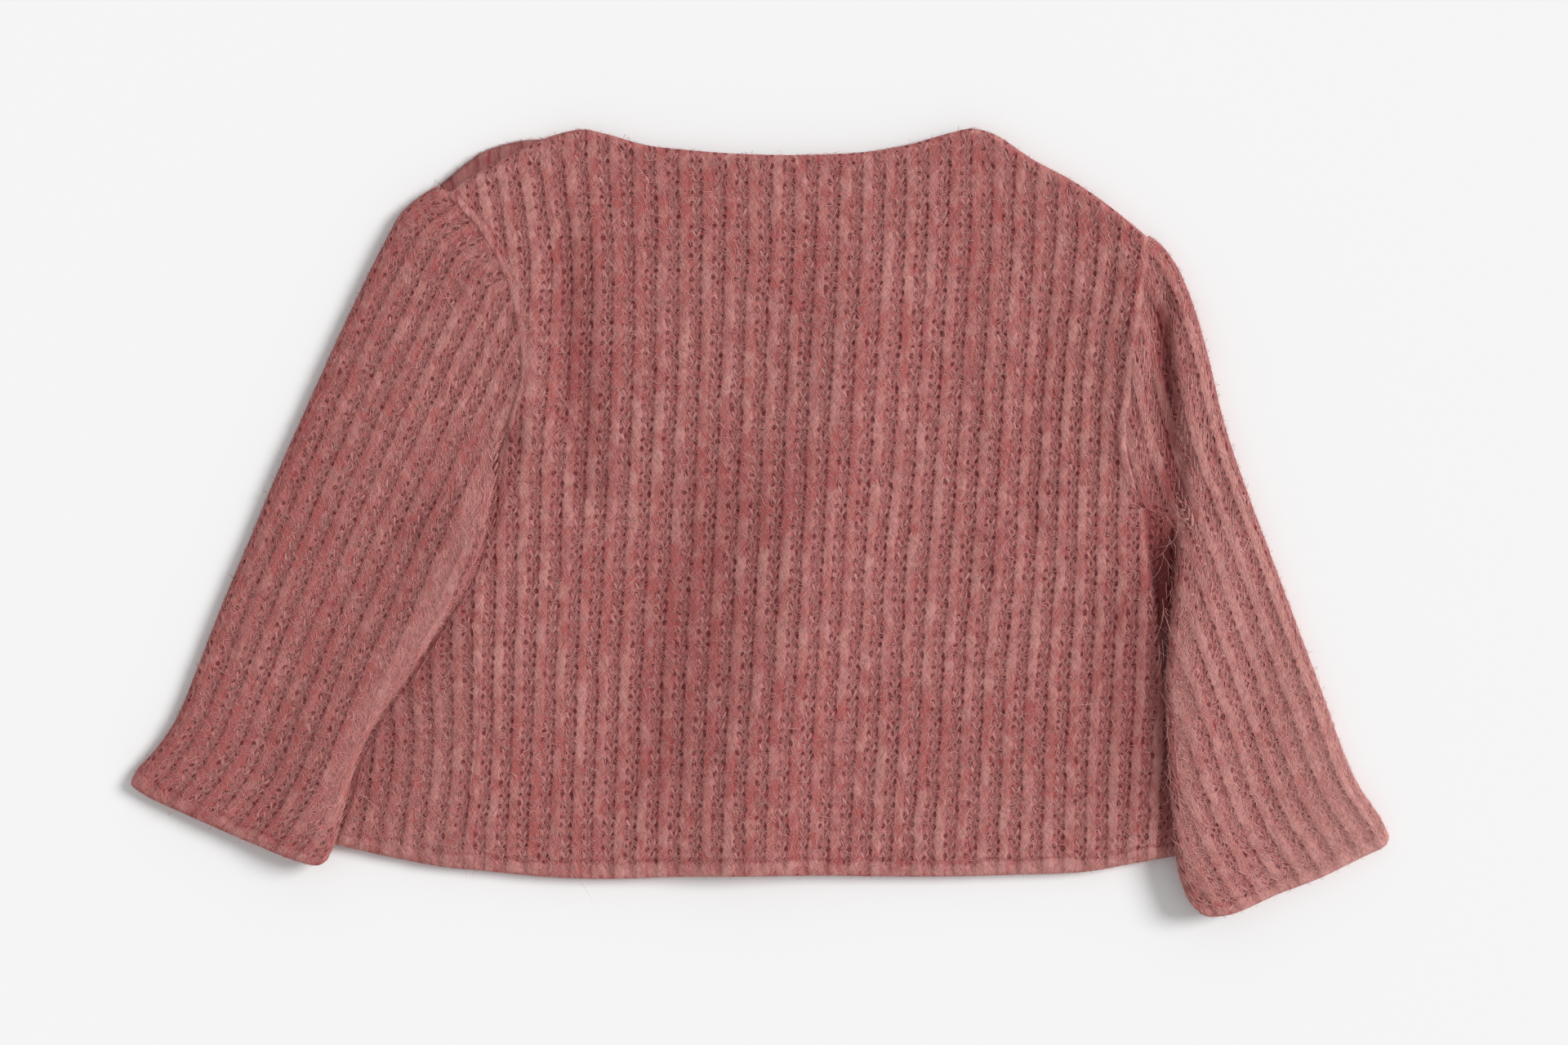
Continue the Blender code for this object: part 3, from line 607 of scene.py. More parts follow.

edge = add(tree, "Attribute", attribute_name="edge", out="Fac")
edge = calc(tree, "ADD", edge, ramp(tree, wander, 0.3, 0.7, -0.6, 0.6))
turned = ramp(tree, edge, TURNING - 1.5, TURNING - 0.1, 1.0, 0.0)
fold_line = ramp(tree, calc(tree, "ABSOLUTE", calc(tree, "SUBTRACT", edge, TURNING)),
                 0.2, 0.9, 0.45, 0.0)
side_off = calc(tree, "ABSOLUTE", calc(tree, "SUBTRACT", from_column, SIDE_HOLES))
side_holes = calc(tree, "MULTIPLY", hole(side_off, in_course, 1.5, 2.2),
                  ramp(tree, stitch, 0.34, 0.56, 0.25, 1.0))
middle_holes = calc(tree, "MULTIPLY", hole(from_column, in_half, 0.9, 2.0),
                    ramp(tree, stitch, 0.62, 0.4, 0.2, 0.8))
# Painted shading read from the points: painted shade in the folds, and below none the pale zones, partly thick nap
# that hides the stitch holes and partly painted highlight
painted_shading_depth = add(tree, "Attribute", attribute_name="painted_shading", out="Fac")
nap_and_painted_highlight = ramp(tree, painted_shading_depth, -0.7, -0.05, 1.0, 0.0)
holes = calc(tree, "MULTIPLY", calc(tree, "MAXIMUM", side_holes, middle_holes),
             calc(tree, "SUBTRACT", 1.0, calc(tree, "MAXIMUM", turned, nap_and_painted_highlight)))
on_rib = calc(tree, "MAXIMUM", ramp(tree, from_column, 0.16, 0.31),
              calc(tree, "MULTIPLY", turned, 0.75))
# Painted shade in a line along the foot of each rib, patchy with the blotches
from_flank = calc(tree, "ABSOLUTE", calc(tree, "SUBTRACT", from_column, RIB_FLANK))
rib_foot_painted_shade = calc(tree, "MULTIPLY", ramp(tree, from_flank, 0.02, 0.12, 0.6, 0.0),
             ramp(tree, blotch, 0.7, 0.3))

# How pale the nap of the ribs is: in patches and streaks, with painted highlight on the
# right, more on the upper right, and on the turned edges, and painted shade on the left
to_right = add(tree, "SeparateXYZ", place, out="X")
to_neck = add(tree, "SeparateXYZ", place, out="Y")
painted_highlight_upper_right = calc(tree, "MULTIPLY", ramp(tree, to_right, 128 * MM, 144 * MM, 0.0, 0.4),
                   ramp(tree, to_neck, -80 * MM, 0.0))
pale = ramp(tree, blotch, 0.36, 0.66, 0.0, 0.75)
for change in (ramp(tree, streaks, 0.75, 1.3, -0.2, 0.35),
               ramp(tree, patches, 0.36, 0.62, -0.22, 0.2),
               ramp(tree, to_right, 100 * MM, 170 * MM, 0.0, 0.3), painted_highlight_upper_right,
               ramp(tree, to_right, -140 * MM, -80 * MM, -0.35, 0.0),
               calc(tree, "MULTIPLY", turned, 0.4)):
    pale = calc(tree, "ADD", pale, change)
rib_colour = blend(tree, pale, "#a75957", "#c38a84")
column_colour = blend(tree, stitch, "#9c5252", "#b87572")
cloth = blend(tree, on_rib, column_colour, rib_colour)
# Painted shade at the foot of the ribs, and the dark line at the hem's fold
cloth = blend(tree, calc(tree, "MAXIMUM", rib_foot_painted_shade, fold_line), cloth, "#8e383a")
cloth = blend(tree, calc(tree, "MULTIPLY", holes, 0.9), cloth, "#67252a")
# Pale zones: lighter colour where the nap is thick, partly painted highlight on the raised edges
cloth = blend(tree, calc(tree, "MULTIPLY", nap_and_painted_highlight, 0.55), cloth, "#c18c85")
# Painted shade: the colour darkens to a deep red in the folds, the cleft and beside the sleeves
cloth = blend(tree, calc(tree, "MULTIPLY", painted_shading_depth, 0.75), cloth, "#571419")
# Painted highlight on the far right, paler towards the right sleeve's outer edge, where the light falls
cloth = blend(tree, ramp(tree, to_right, 155 * MM, 192 * MM, 0.0, 0.4), cloth, "#d9a8a0")
tree.links.new(cloth, cloth_shader.inputs["Base Color"])
cloth_shader.inputs["Roughness"].default_value = 0.95
cloth_shader.inputs["Specular IOR Level"].default_value = 0.15
cloth_shader.inputs["Sheen Weight"].default_value = 0.1
cloth_shader.inputs["Sheen Roughness"].default_value = 0.6
cloth_shader.inputs["Sheen Tint"].default_value = colour("#e3b9b3")

relief = calc(tree, "ADD", calc(tree, "MULTIPLY", streaks, 0.35),
              calc(tree, "MULTIPLY", blotch, 0.8))
relief = calc(tree, "SUBTRACT", relief, calc(tree, "MULTIPLY", holes, 0.9))
bump = add(tree, "Bump").node
bump.inputs["Strength"].default_value = 0.8
bump.inputs["Distance"].default_value = 0.6 * MM
tree.links.new(relief, bump.inputs["Height"])
tree.links.new(bump.outputs[0], cloth_shader.inputs["Normal"])
back.data.materials.append(knit)

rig.ride(back, "root")
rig.replaces(back, "back")
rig.slot(back, "rib_knit")

# Left front
# The front that laps over the other. It lies flat under the back, rolls round the left
# side, and comes up on top as far as the side seam. Its shoulder is rolled to the back too.
OVERLAP_HEM = (-6.0, -112.5)    # middle line of the fronts' overlap at the hem: x, y
OVERLAP_NECK = (33.0, 76.0)     # the same at the neck
OVERLAP = 17.6                  # its width
OVERLAP_CLEAR = 0.4             # width past the other front before it steps down
STEP_WIDTH = 6.0                # width over which it steps down
START_X = 10.0                  # x at which a row's slope gives the start of a front
WRAP_END = 0.636                # share of the length at which it leaves the top
NECK_POINT = -64.0              # x at which the left shoulder meets the neck edge
SHOULDER_STEPS = 44             # columns of the mesh along that shoulder
SHOULDER_TUCK = 2.2             # how far its strip runs under the back
SHOULDER_TURN = 12.0            # length over which the strip's end turns into the armhole
SHOULDER_HALF = 0.86 * FOLD     # half the strip's height
SHOULDER_EDGE = 3.4             # distance from a turned edge at which the cloth has its colour
FRONT_TOP = (
    (-99.8, 104.3), (-86.1, 110.2), (-75.7, 116.5), (-64.0, 120.9), (-57.0, 107.0),
    (-43.2, 89.4), (-23.7, 79.0), (4.9, 75.1), (33.5, 75.9), (46.5, 82.9), (58.2, 99.8),
    (64.7, 116.7), (68.0, 124.4), (73.8, 122.9), (86.8, 114.6), (99.8, 107.6),
    (112.8, 98.5), (123.2, 90.2),
)
# The fold over the left shoulder: x, y
SHOULDER_FOLD = (
    (-102.2, 107.1), (-95.2, 112.8), (-88.7, 117.5), (-82.2, 119.9), (-75.7, 121.4),
    (-69.2, 121.9), (-64.0, 122.6),
)


def overlap_x(y):
    """Middle line of the fronts' overlap at a height on the garment."""
    t = (y - OVERLAP_HEM[1]) / (OVERLAP_NECK[1] - OVERLAP_HEM[1])
    return mix(OVERLAP_HEM[0], OVERLAP_NECK[0], t)


def flat_grid(ends, places):
    """A front's flat part, from its overlapped edge to its other end."""
    x = mix(ends[0][:, None], ends[1][:, None], places)
    return x, row_y(shares[:, None], FRONT_TOP, x)


start = overlap_x(row_y(shares, FRONT_TOP, START_X)) + OVERLAP / 2
edge = read(BODY_ROWS, shares)
seam_x = read(BODY_ROWS, shares, 3)
wraps = shares < WRAP_END
turn = np.where(wraps, np.minimum(FOLD, (seam_x - edge) / 2), 0.0)
flat_end = edge + turn
step_down = (np.array([[0.0, OVERLAP + OVERLAP_CLEAR, OVERLAP + STEP_WIDTH]])
             / (start - flat_end)[:, None])
places = np.hstack([step_down, mix(step_down[:, [2]], 1.0, np.linspace(0, 1, 17)[None, 1:])])
flat_x, flat_y = flat_grid((start, flat_end), places)
raised = np.where(np.arange(places.shape[1]) < 2, WALL + GAP, 0.0) + 0.0 * flat_x
corner = np.dstack([edge, row_y(shares, FRONT_TOP, edge), edge * 0 + WALL])[0]

over_ribs = np.arange(-22 * RIB_STEPS, -12 * RIB_STEPS + 1) / RIB_STEPS
side_x, side_y, side_rib, side_away = top_layer(
    shares, BACK_TOP, edge + turn, seam_x + SEAM_LAP, over_ribs)
side_base = WALL + GAP + loft(side_x, side_y)
from_seam = seam_x[:, None] + SEAM_LAP - side_x
from_hem = shares[:, None] * BODY_LENGTH
side_rise = rib_height(side_rib) + uneven(side_x, side_y)
side_rise = side_rise * ease(np.minimum(side_away, from_hem) / RIB_FADE)
side_top = side_base + WALL + side_rise - roll(from_seam) - roll(from_hem)

angles = np.radians(np.linspace(-75, 75, 11))[None, :]
half = side_top[:, [0]] / 2
turn_x = (edge + turn)[:, None] - turn[:, None] * np.cos(angles)
turn_y = row_y(shares[:, None], FRONT_TOP, turn_x)
turn_z = half * (1 + np.sin(angles))
turn_rib = side_rib[:, [0]] - FOLD * (math.pi / 2 - angles) / RIB_PITCH
flat_rib = turn_rib[:, [0]] - (flat_x - flat_x[:, [-1]]) / RIB_PITCH
slot_x = (edge + np.minimum(WALL, turn))[:, None] + 0 * turn_x
slot_y = row_y(shares[:, None], FRONT_TOP, slot_x)


def front_grid(flat, fold, side):
    """The front's grid: flat below, then round the fold and on top where it comes up.

    Where it doesn't, the rest is closed to a corner.
    """
    rest = np.hstack([np.dstack(fold), np.dstack(side)])
    return np.hstack([np.dstack(flat), np.where(wraps[:, None, None], rest, corner[:, None])])


outer = front_grid((flat_x, flat_y, raised), (turn_x, turn_y, turn_z), (side_x, side_y, side_top))
inner = front_grid((flat_x, flat_y, raised + WALL), (slot_x, slot_y, half + 0 * turn_x),
                   (side_x, side_y, side_base))
rib = np.hstack([flat_rib, turn_rib, side_rib])
on_top = slice(flat_x.shape[1] + turn_x.shape[1], None)
rolled = slice(flat_x.shape[1] + 3, None)
front_left = shell("front_left_cloth", outer, inner, np.dstack([rib, outer[:, :, 1] / COURSE]),
                   from_hem + 0 * rib)
front_left.data.materials.append(knit)
front_left_points, front_left_ribs = outer, rib

shoulder_x = np.linspace(BODY_ROWS[-1][1], NECK_POINT, SHOULDER_STEPS)
shift = ease((shoulder_x - SHOULDER_FOLD[0][0]) / SHOULDER_TURN)
fold_x = mix(shoulder_x + SHOULDER_FOLD[0][0] - BODY_ROWS[-1][1], shoulder_x, shift)
seam_points = np.stack([shoulder_x, read(BACK_TOP, shoulder_x) - SHOULDER_TUCK], 1)
fold_points = np.stack([fold_x, read(SHOULDER_FOLD, fold_x)], 1)
strip_rib = (shoulder_x - NECK_POINT) / RIB_PITCH
thick = 2 * SHOULDER_HALF
reach = np.linalg.norm(fold_points - seam_points, axis=1)
bend = np.minimum(FOLD, 0.8 * reach)
levels = [(share * (reach - bend), 0.01) for share in (0.0, 0.5)]
for angle in np.radians(np.arange(-90, 91, 15)):
    levels.append((reach - bend * (1 - np.cos(angle)), SHOULDER_HALF * (1 + np.sin(angle))))
for share, drop in ((0.75, 0.0), (0.5, 0.0), (0.25, 0.0), (0.05, 0.4), (0.0, 1.2)):
    levels.append((share * (reach - bend), thick - drop))
strip, strip_uv = [], []
for k, (out, z) in enumerate(levels):
    at = mix(seam_points, fold_points, (out / reach)[:, None])
    # Its top has ribs of half their height
    relief = rib_height(strip_rib) * (0.5 if 9 < k < len(levels) - 2 else 0.0)
    strip.append(np.column_stack([at, z + relief]))
    strip_uv.append(np.column_stack([strip_rib, (out + z) / COURSE]))
strip = np.array(strip)[:, ::-1]
strip_inner = np.array([np.column_stack([seam_points, 0 * shoulder_x + thick / 2])] * len(strip))
shoulder = shell("front_left_shoulder", strip, strip_inner[:, ::-1],
                 np.array(strip_uv)[:, ::-1], np.full(strip.shape[:2], SHOULDER_EDGE))
shoulder.data.materials.append(knit)

for piece in (front_left, shoulder):
    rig.ride(piece, "root")
    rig.slot(piece, "rib_knit")
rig.replaces(front_left, "front_left")

# Right front
# The other front of the same knit, flat on the surface and wholly under the back. It is
# plain, because nothing of it shows.
start = overlap_x(row_y(shares, FRONT_TOP, START_X)) - OVERLAP / 2
flat_x, flat_y = flat_grid((start, read(BODY_ROWS, shares, 4)), np.linspace(1, 0, 30))
outer = np.dstack([flat_x, flat_y, 0 * flat_x])
inner = np.dstack([flat_x, flat_y, 0 * flat_x + WALL])
front_right = shell("front_right_cloth", outer, inner,
                    np.dstack([flat_x / RIB_PITCH, flat_y / COURSE]), from_hem + 0 * flat_x)
front_right.data.materials.append(knit)
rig.ride(front_right, "root")
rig.replaces(front_right, "front_right")
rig.slot(front_right, "rib_knit")

# Sleeves
# Two set-in tubes of the same knit, pressed flat. Their ribs run beside the outer edge and
# end at the armhole or the inner edge, which lies on the body's side.
LIFT_WIDTH = 13.0       # width of a sleeve's underside that rises on to the body's side
LIFT_TOP_WIDTH = 32.0   # width of its top that rises with it
LIFT_FLAT = 4.5         # width beside the edge that is level again
LIFT_START = 13.0       # length below the armhole over which it rises
SLEEVE_LENGTH = 200.0   # a sleeve's length, of which its rows have their shares
INNER_FADE = 7.0        # width beside the inner fold over which the ribs fade

# Sleeve outlines: x, y. Outer and inner edges run from the cuff up
LEFT_SLEEVE = {
    "outer": (
        (-200.2, -82.2), (-198.1, -78.3), (-193.2, -73.1), (-185.9, -62.7),
        (-179.4, -47.1), (-171.3, -26.3), (-162.5, -5.5), (-153.9, 15.3),
        (-144.6, 36.1), (-135.2, 56.9), (-125.3, 77.7), (-117.3, 93.3),
        (-114.1, 98.5), (-108.2, 103.7), (-103.4, 106.4),
    ),
    "cuff": (
        (-200.2, -82.2), (-199.2, -84.5), (-192.7, -88.4), (-179.7, -94.1),
        (-166.7, -99.8), (-153.7, -105.0), (-145.3, -107.9), (-140.1, -108.7),
        (-137.3, -107.1),
    ),
    "inner": (
        (-137.3, -107.1), (-134.9, -101.7), (-131.6, -90.0), (-127.7, -75.7),
        (-121.2, -62.7), (-112.1, -49.7), (-100.2, -31.5), (-90.4, -15.9),
        (-86.4, -0.3), (-84.4, 12.7), (-83.9, 19.2),
    ),
    "corner": (-102.6, 107.0),
    "side": -1,
    "lift": 4.9,
}
RIGHT_SLEEVE = {
    "outer": (
        (200.2, -99.8), (197.3, -93.9), (190.3, -83.5), (185.6, -73.1),
        (178.1, -52.3), (170.3, -31.5), (162.5, -10.7), (154.7, 10.1),
        (147.7, 30.9), (142.7, 51.7), (138.3, 67.3), (134.4, 77.7),
        (131.6, 82.9), (127.7, 88.1), (123.7, 91.0),
    ),
    "cuff": (
        (200.2, -99.8), (198.4, -103.2), (190.8, -106.9), (177.8, -113.1),
        (164.8, -118.0), (151.8, -123.5), (145.3, -124.8), (140.1, -124.3),
        (135.7, -119.9),
    ),
    "inner": (
        (135.7, -119.9), (133.6, -114.7), (131.6, -105.6), (129.7, -80.9),
        (128.6, -60.1), (128.7, -45.8), (130.0, -31.5), (131.4, -17.2),
        (131.9, -7.5), (130.6, -0.6), (121.6, 2.9),
    ),
    "corner": (123.6, 91.2),
    "side": 1,
    "lift": 5.6,
}


def along(points, share, curved=True):
    """Points of a line by their share of its length, on a smooth curve or straight."""
    points = np.array(points, float)
    steps = np.linalg.norm(np.diff(points, axis=0), axis=1)
    ends = np.concatenate([[0.0], np.cumsum(steps)])
    goal = np.clip(share, 0, 1) * ends[-1]
    i = np.clip(np.searchsorted(ends, goal, side="right") - 1, 0, len(steps) - 1)
    t = ((goal - ends[i]) / steps[i])[..., None]
    a, b = points[i], points[i + 1]
    if not curved:
        return mix(a, b, t)
    leave = (b - points[np.maximum(i - 1, 0)]) / 2
    reach = (points[np.minimum(i + 2, len(points) - 1)] - a) / 2
    return (mix(a, b, t * t * (3 - 2 * t)) + t * (1 - t) ** 2 * leave
            - t * t * (1 - t) * reach)


def from_line(points, line):
    """Shortest distance from each point to a line of short straight stretches."""
    best = np.full(points.shape[:-1], np.inf)
    for a, b in zip(line, line[1:]):
        run = b - a
        t = np.clip(((points - a) @ run) / (run @ run), 0, 1)
        best = np.minimum(best, np.linalg.norm(points - a - t[..., None] * run, axis=-1))
    return best


def make_sleeve(name, shape):
    """A flattened tube from the cuff to the armhole.

    Gives the piece, the grids of its top, which has the stitches, and the grid for its nap.
    """
    side = shape["side"]
    columns = (1, 2) if side < 0 else (4, 5)
    armhole_rows = [row for row in BODY_ROWS if row[0] >= UNDERARM][::-1]
    seam = np.array([(row[columns[0]], row[columns[1]]) for row in armhole_rows])
    run = np.gradient(seam, axis=0)
    run /= np.linalg.norm(run, axis=1)[:, None]
    seam = seam - side * SEAM_LAP * np.column_stack([-run[:, 1], run[:, 0]])
    seam[0] = shape["corner"]
    seam[-1] = shape["inner"][-1]
    split = len(seam) - 2
    armhole = seam[:split]
    fine = np.linspace(0, 1, 121)
    outer_edge = along([*shape["outer"][:-1], armhole[0]], fine)
    inner_edge = along([*shape["inner"][:-1], *seam[:split - 2:-1]], fine)
    underarm = seam[-1]
    cuff = np.array(shape["cuff"])

    def place(u, v):
        """A point by its shares across and up the sleeve."""
        a, b = along(cuff, u), along(armhole, u, curved=False)
        c, d = along(outer_edge, v, curved=False), along(inner_edge, v, curved=False)
        u, v = u[..., None], v[..., None]
        return (mix(a, b, v) + mix(c, d, u)
                - mix(mix(cuff[0], cuff[-1], u), mix(armhole[0], armhole[-1], u), v))

    rows = spaced(SLEEVE_LENGTH, EDGE_PLACES, ROW_STEP) / SLEEVE_LENGTH
    samples = np.linspace(0, 1, 81)
    u_grid, v_grid = np.meshgrid(samples, rows)
    points = place(u_grid, v_grid)
    from_out = np.maximum.accumulate(from_line(points, outer_edge), axis=1)
    from_in = np.maximum.accumulate(from_line(points, inner_edge)[:, ::-1], axis=1)
    from_out[:, 0] = from_in[:, 0] = 0.0
    course = np.vstack([np.zeros(len(samples)), np.cumsum(
        np.linalg.norm(np.diff(points, axis=0), axis=2), axis=0)]) / COURSE

    def share_out(away):
        """Shares across the sleeve at distances from its outer edge."""
        return np.array([np.interp(a, d, samples) for a, d in zip(away, from_out)])

    def share_in(away):
        """Shares across the sleeve at distances from its inner edge."""
        return np.array([np.interp(a, d, 1 - samples) for a, d in zip(away, from_in)])

    def layers(u):
        """At shares across: points, heights of the underside and inside the top wall, and
        distances from the inner edge."""
        v = np.broadcast_to(rows[:, None], u.shape)
        at = place(u, v)
        away = from_line(at, inner_edge)
        lift = shape["lift"] * ease((underarm[1] - at[..., 1]) / LIFT_START)
        low = lift * ease((LIFT_WIDTH - away) / (LIFT_WIDTH - LIFT_FLAT))
        top = lift * ease((LIFT_TOP_WIDTH - away) / (LIFT_TOP_WIDTH - LIFT_FLAT))
        return at, low, WALL + GAP + loft(at[..., 0], at[..., 1]) + top, away

    to_end = np.minimum(rows, 1 - rows)[:, None] * SLEEVE_LENGTH
    drop = roll(to_end)

    def fold(degrees, share_at):
        """Points round one fold, from its angles; a quarter turn is its top."""
        angle = np.radians(degrees)[None, :] + 0 * rows[:, None]
        u = share_at(FOLD * (1 - np.cos(angle)))
        at, low, top, _ = layers(u)
        half = (top + WALL - low) / 2
        z = low + half + (half - drop) * np.sin(angle)
        slot_at, slot_low, slot_top, _ = layers(share_at(WALL + 0 * angle))
        middle = (slot_low + slot_top + WALL) / 2
        return (np.dstack([at, z]), np.dstack([slot_at, middle]), u,
                half * (math.pi / 2 - np.abs(angle)) / RIB_PITCH)

    up = np.arange(0, 90, 12.0)
    start, start_in, start_u, start_rib = fold(up, share_out)
    first = share_out(FOLD + 0 * rows[:, None])
    last = share_in(FOLD + 0 * rows[:, None])
    ribs = np.arange(0, 12 * RIB_STEPS + 1) / RIB_STEPS
    over_u = np.clip(share_out(ribs[None, :] * RIB_PITCH + 0 * rows[:, None]), first, last)
    at, low, top, away_in = layers(over_u)
    away_out = from_line(at, outer_edge)
    over_rib = away_out / RIB_PITCH
    fade = np.minimum(np.minimum(away_out - FOLD, to_end) / RIB_FADE, (away_in - FOLD) / INNER_FADE)
    relief = (rib_height(over_rib) + uneven(at[..., 0], at[..., 1])) * ease(fade)
    over, over_in = np.dstack([at, top + WALL + relief - drop]), np.dstack([at, top])
    bend, bend_in, bend_u, bend_rib = fold(np.arange(90, -91, -15.0), share_in)
    # Past the fold's middle its ribs are counted on, so the whole tube has one count
    bend_rib[:, 7:] = 2 * bend_rib[:, [6]] - bend_rib[:, 7:]
    bend_rib = over_rib[:, [-1]] + bend_rib
    under_u = mix(last, first, np.linspace(0, 1, 14)[None, 1:-1])
    at, low, top, _ = layers(under_u)
    under, under_in = np.dstack([at, low + 0.4 * drop]), np.dstack([at, low + WALL])
    under_rib = bend_rib[:, [-1]] + over_rib[:, [-1]] - from_line(at, outer_edge) / RIB_PITCH
    shut, shut_in, shut_u, shut_rib = fold(np.arange(-90, 1, 15.0), share_out)
    outer = np.hstack([start, over, bend, under, shut])
    inner = np.hstack([start_in, over_in, bend_in, under_in, shut_in])
    rib = np.hstack([FOLD / RIB_PITCH - start_rib, over_rib, bend_rib, under_rib,
                     under_rib[:, [-1]] + FOLD / RIB_PITCH + shut_rib])
    us = np.hstack([start_u, over_u, bend_u, under_u, shut_u])
    courses = np.array([np.interp(a, samples, c) for a, c in zip(us, course)])
    if side > 0:
        outer, inner, rib, courses = (grid[:, ::-1] for grid in (outer, inner, rib, courses))
    made = shell(name, outer, inner, np.dstack([rib, courses]),
                 rows[:, None] * SLEEVE_LENGTH + 0 * rib, closed=True)
    upper = slice(len(up), len(up) + len(ribs))
    # The nap goes on round both folds
    rounded = slice(0, len(up) + len(ribs) + 8)
    if side > 0:
        count = outer.shape[1]
        upper, rounded = (slice(count - part.stop, count - part.start) for part in (upper, rounded))
    return made, outer[:, upper], rib[:, upper], courses[:, upper], outer[:, rounded]


def top_of_sleeve(points, rib, course):
    """The sleeve's grids with their ribs counted upwards from left to right."""
    if rib[0, 0] > rib[0, -1]:
        return points, -rib, course
    return points, rib, course


sleeves = {}
for node, shape in (("sleeve_left", LEFT_SLEEVE), ("sleeve_right", RIGHT_SLEEVE)):
    piece, *sleeves[node] = make_sleeve(node + "_cloth", shape)
    piece.data.materials.append(knit)
    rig.ride(piece, "root")
    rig.replaces(piece, node)
    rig.slot(piece, "rib_knit")

# Stitches
# Between two ribs the yarn shows as a column of V-shaped stitches, one to a course. Each
# leg is a small roof of yarn that rises from the middle and dives under the rib.
LEG_STEPS = 4
LEG_WIDTH = 0.4         # half the width of a leg
LEG_HEIGHT = 0.45       # how far a leg stands above the cloth
LEG_SPREAD = 0.21       # how far a leg reaches to its side, in rib repeats
LEG_ENDS = (-0.34, 0.46)    # where it starts and ends, in courses
LEG_ROOT = 0.32         # how deep its sides go into the cloth
BARE = -0.28            # paleness at which the nap hides the stitches
COLUMN_CLEAR = 0.8      # least distance of a column from the side of its grid, in rib repeats
COLUMN_SIDE = 0.12      # distance at which its way across is taken, in rib repeats
PRESSED_PITCH = 0.6     # share of a rib repeat's width under which the column is folded away
yarn = np.random.default_rng(7)


def columns_of(points, rib, course, numbers):
    """Middle line, way across and course of each column of stitches, row by row."""
    for number in numbers:
        line = []
        for row, ribs, courses in zip(points, rib, course):
            if not ribs[0] + COLUMN_CLEAR < number < ribs[-1] - COLUMN_CLEAR:
                continue
            at = [[np.interp(number + off, ribs, row[:, axis]) for axis in range(3)]
                  for off in (-COLUMN_SIDE, 0.0, COLUMN_SIDE)]
            wide = (np.array(at[2]) - at[0]) / (2 * COLUMN_SIDE)
            if np.linalg.norm(wide) > PRESSED_PITCH * RIB_PITCH:
                line.append([*at[1], *wide, np.interp(number, ribs, courses)])
        if len(line) > 8:
            line = np.array(line)
            yield line[np.argsort(line[:, 6])]


def many(name, units, faces, tone, finish):
    """A piece made of many small alike units, each with its own tone of the yarn.

    units holds each unit's points; faces lists the corners of one unit's faces.
    """
    count, size = units.shape[:2]
    data = bpy.data.meshes.new(name)
    data.vertices.add(count * size)
    data.vertices.foreach_set("co", np.ravel(units).astype(np.float32) * MM)
    corners = np.concatenate(faces)
    sizes = [len(face) for face in faces] * count
    data.loops.add(len(corners) * count)
    data.loops.foreach_set("vertex_index", np.ravel(
        np.arange(count)[:, None] * size + corners[None]).astype(np.int32))
    data.polygons.add(len(sizes))
    data.polygons.foreach_set("loop_start", np.concatenate([[0], np.cumsum(sizes)[:-1]]))
    data.update(calc_edges=True)
    data.polygons.foreach_set("use_smooth", np.ones(len(sizes), bool))
    layer = data.attributes.new("tone", "FLOAT", "POINT")
    layer.data.foreach_set("value", np.repeat(tone, size).astype(np.float32))
    data.materials.append(finish)
    piece = bpy.data.objects.new(name, data)
    bpy.context.scene.collection.objects.link(piece)
    return piece


def stitch_legs(name, points, rib, course, numbers, finish):
    """Both legs of every stitch in the columns with these numbers."""
    t = np.linspace(0, 1, LEG_STEPS + 1)
    vertices, tone = [], []
    for line in columns_of(points, rib, course, numbers):
        # One stitch to a course, clear of the turned edge and of the end
        counts = np.arange(math.ceil(line[0, 6] + 1.3), math.floor(line[-1, 6] - 0.6) + 1)
        for side in (-1, 1):
            # No two legs are alike: each has its own spread, place, height and width
            shape = yarn.normal(0, 1, (len(counts), 4, 1))
            off = side * mix(0.02, LEG_SPREAD + 0.015 * shape[:, 0], t ** 0.8)
            up = counts[:, None] + mix(*LEG_ENDS, t) + 0.04 * shape[:, 1]
            rise = LEG_HEIGHT * (0.15 + 0.85 * np.sin(math.pi * (0.12 + 0.8 * t)))
            rise = rise + 0.06 * shape[:, 2]
            width = LEG_WIDTH * (0.55 + 0.45 * np.sin(math.pi * t)) * (1 + 0.12 * shape[:, 3])
            middle = np.stack([np.interp(up, line[:, 6], line[:, k]) for k in range(3)], -1)
            across = np.stack([np.interp(up, line[:, 6], line[:, k]) for k in range(3, 6)], -1)
            above = np.stack([np.interp(up + 0.5, line[:, 6], line[:, k]) for k in range(3)], -1)
            normal = np.cross(across, above - middle)
            normal /= np.linalg.norm(normal, axis=-1, keepdims=True)
            path = middle + off[..., None] * across + rise[..., None] * normal
            run = np.gradient(path, axis=1)
            out = np.cross(run, normal)
            out /= np.linalg.norm(out, axis=-1, keepdims=True)
            wide = width[..., None] * out
            root = LEG_ROOT * normal
            # Legs are left out where the colour is painted pale, and darkened by the painted shade in the folds
            painted_shading_depth = painted_shading(path[:, LEG_STEPS // 2, 0], path[:, LEG_STEPS // 2, 1], name)
            shows = painted_shading_depth > BARE
            vertices.append(np.stack([path - wide - root, path, path + wide - root], 2)[shows])
            tone.append(((0.5 + 0.18 * shape[:, 0, 0]) * (1 - 1.2 * painted_shading_depth))[shows])
    faces = [(3 * i + a, 3 * i + a + 1, 3 * i + a + 4, 3 * i + a + 3)
             for i in range(LEG_STEPS) for a in (0, 1)]
    units = np.concatenate(vertices).reshape(-1, 3 * len(t), 3)
    return many(name, units, faces, np.concatenate(tone), finish)


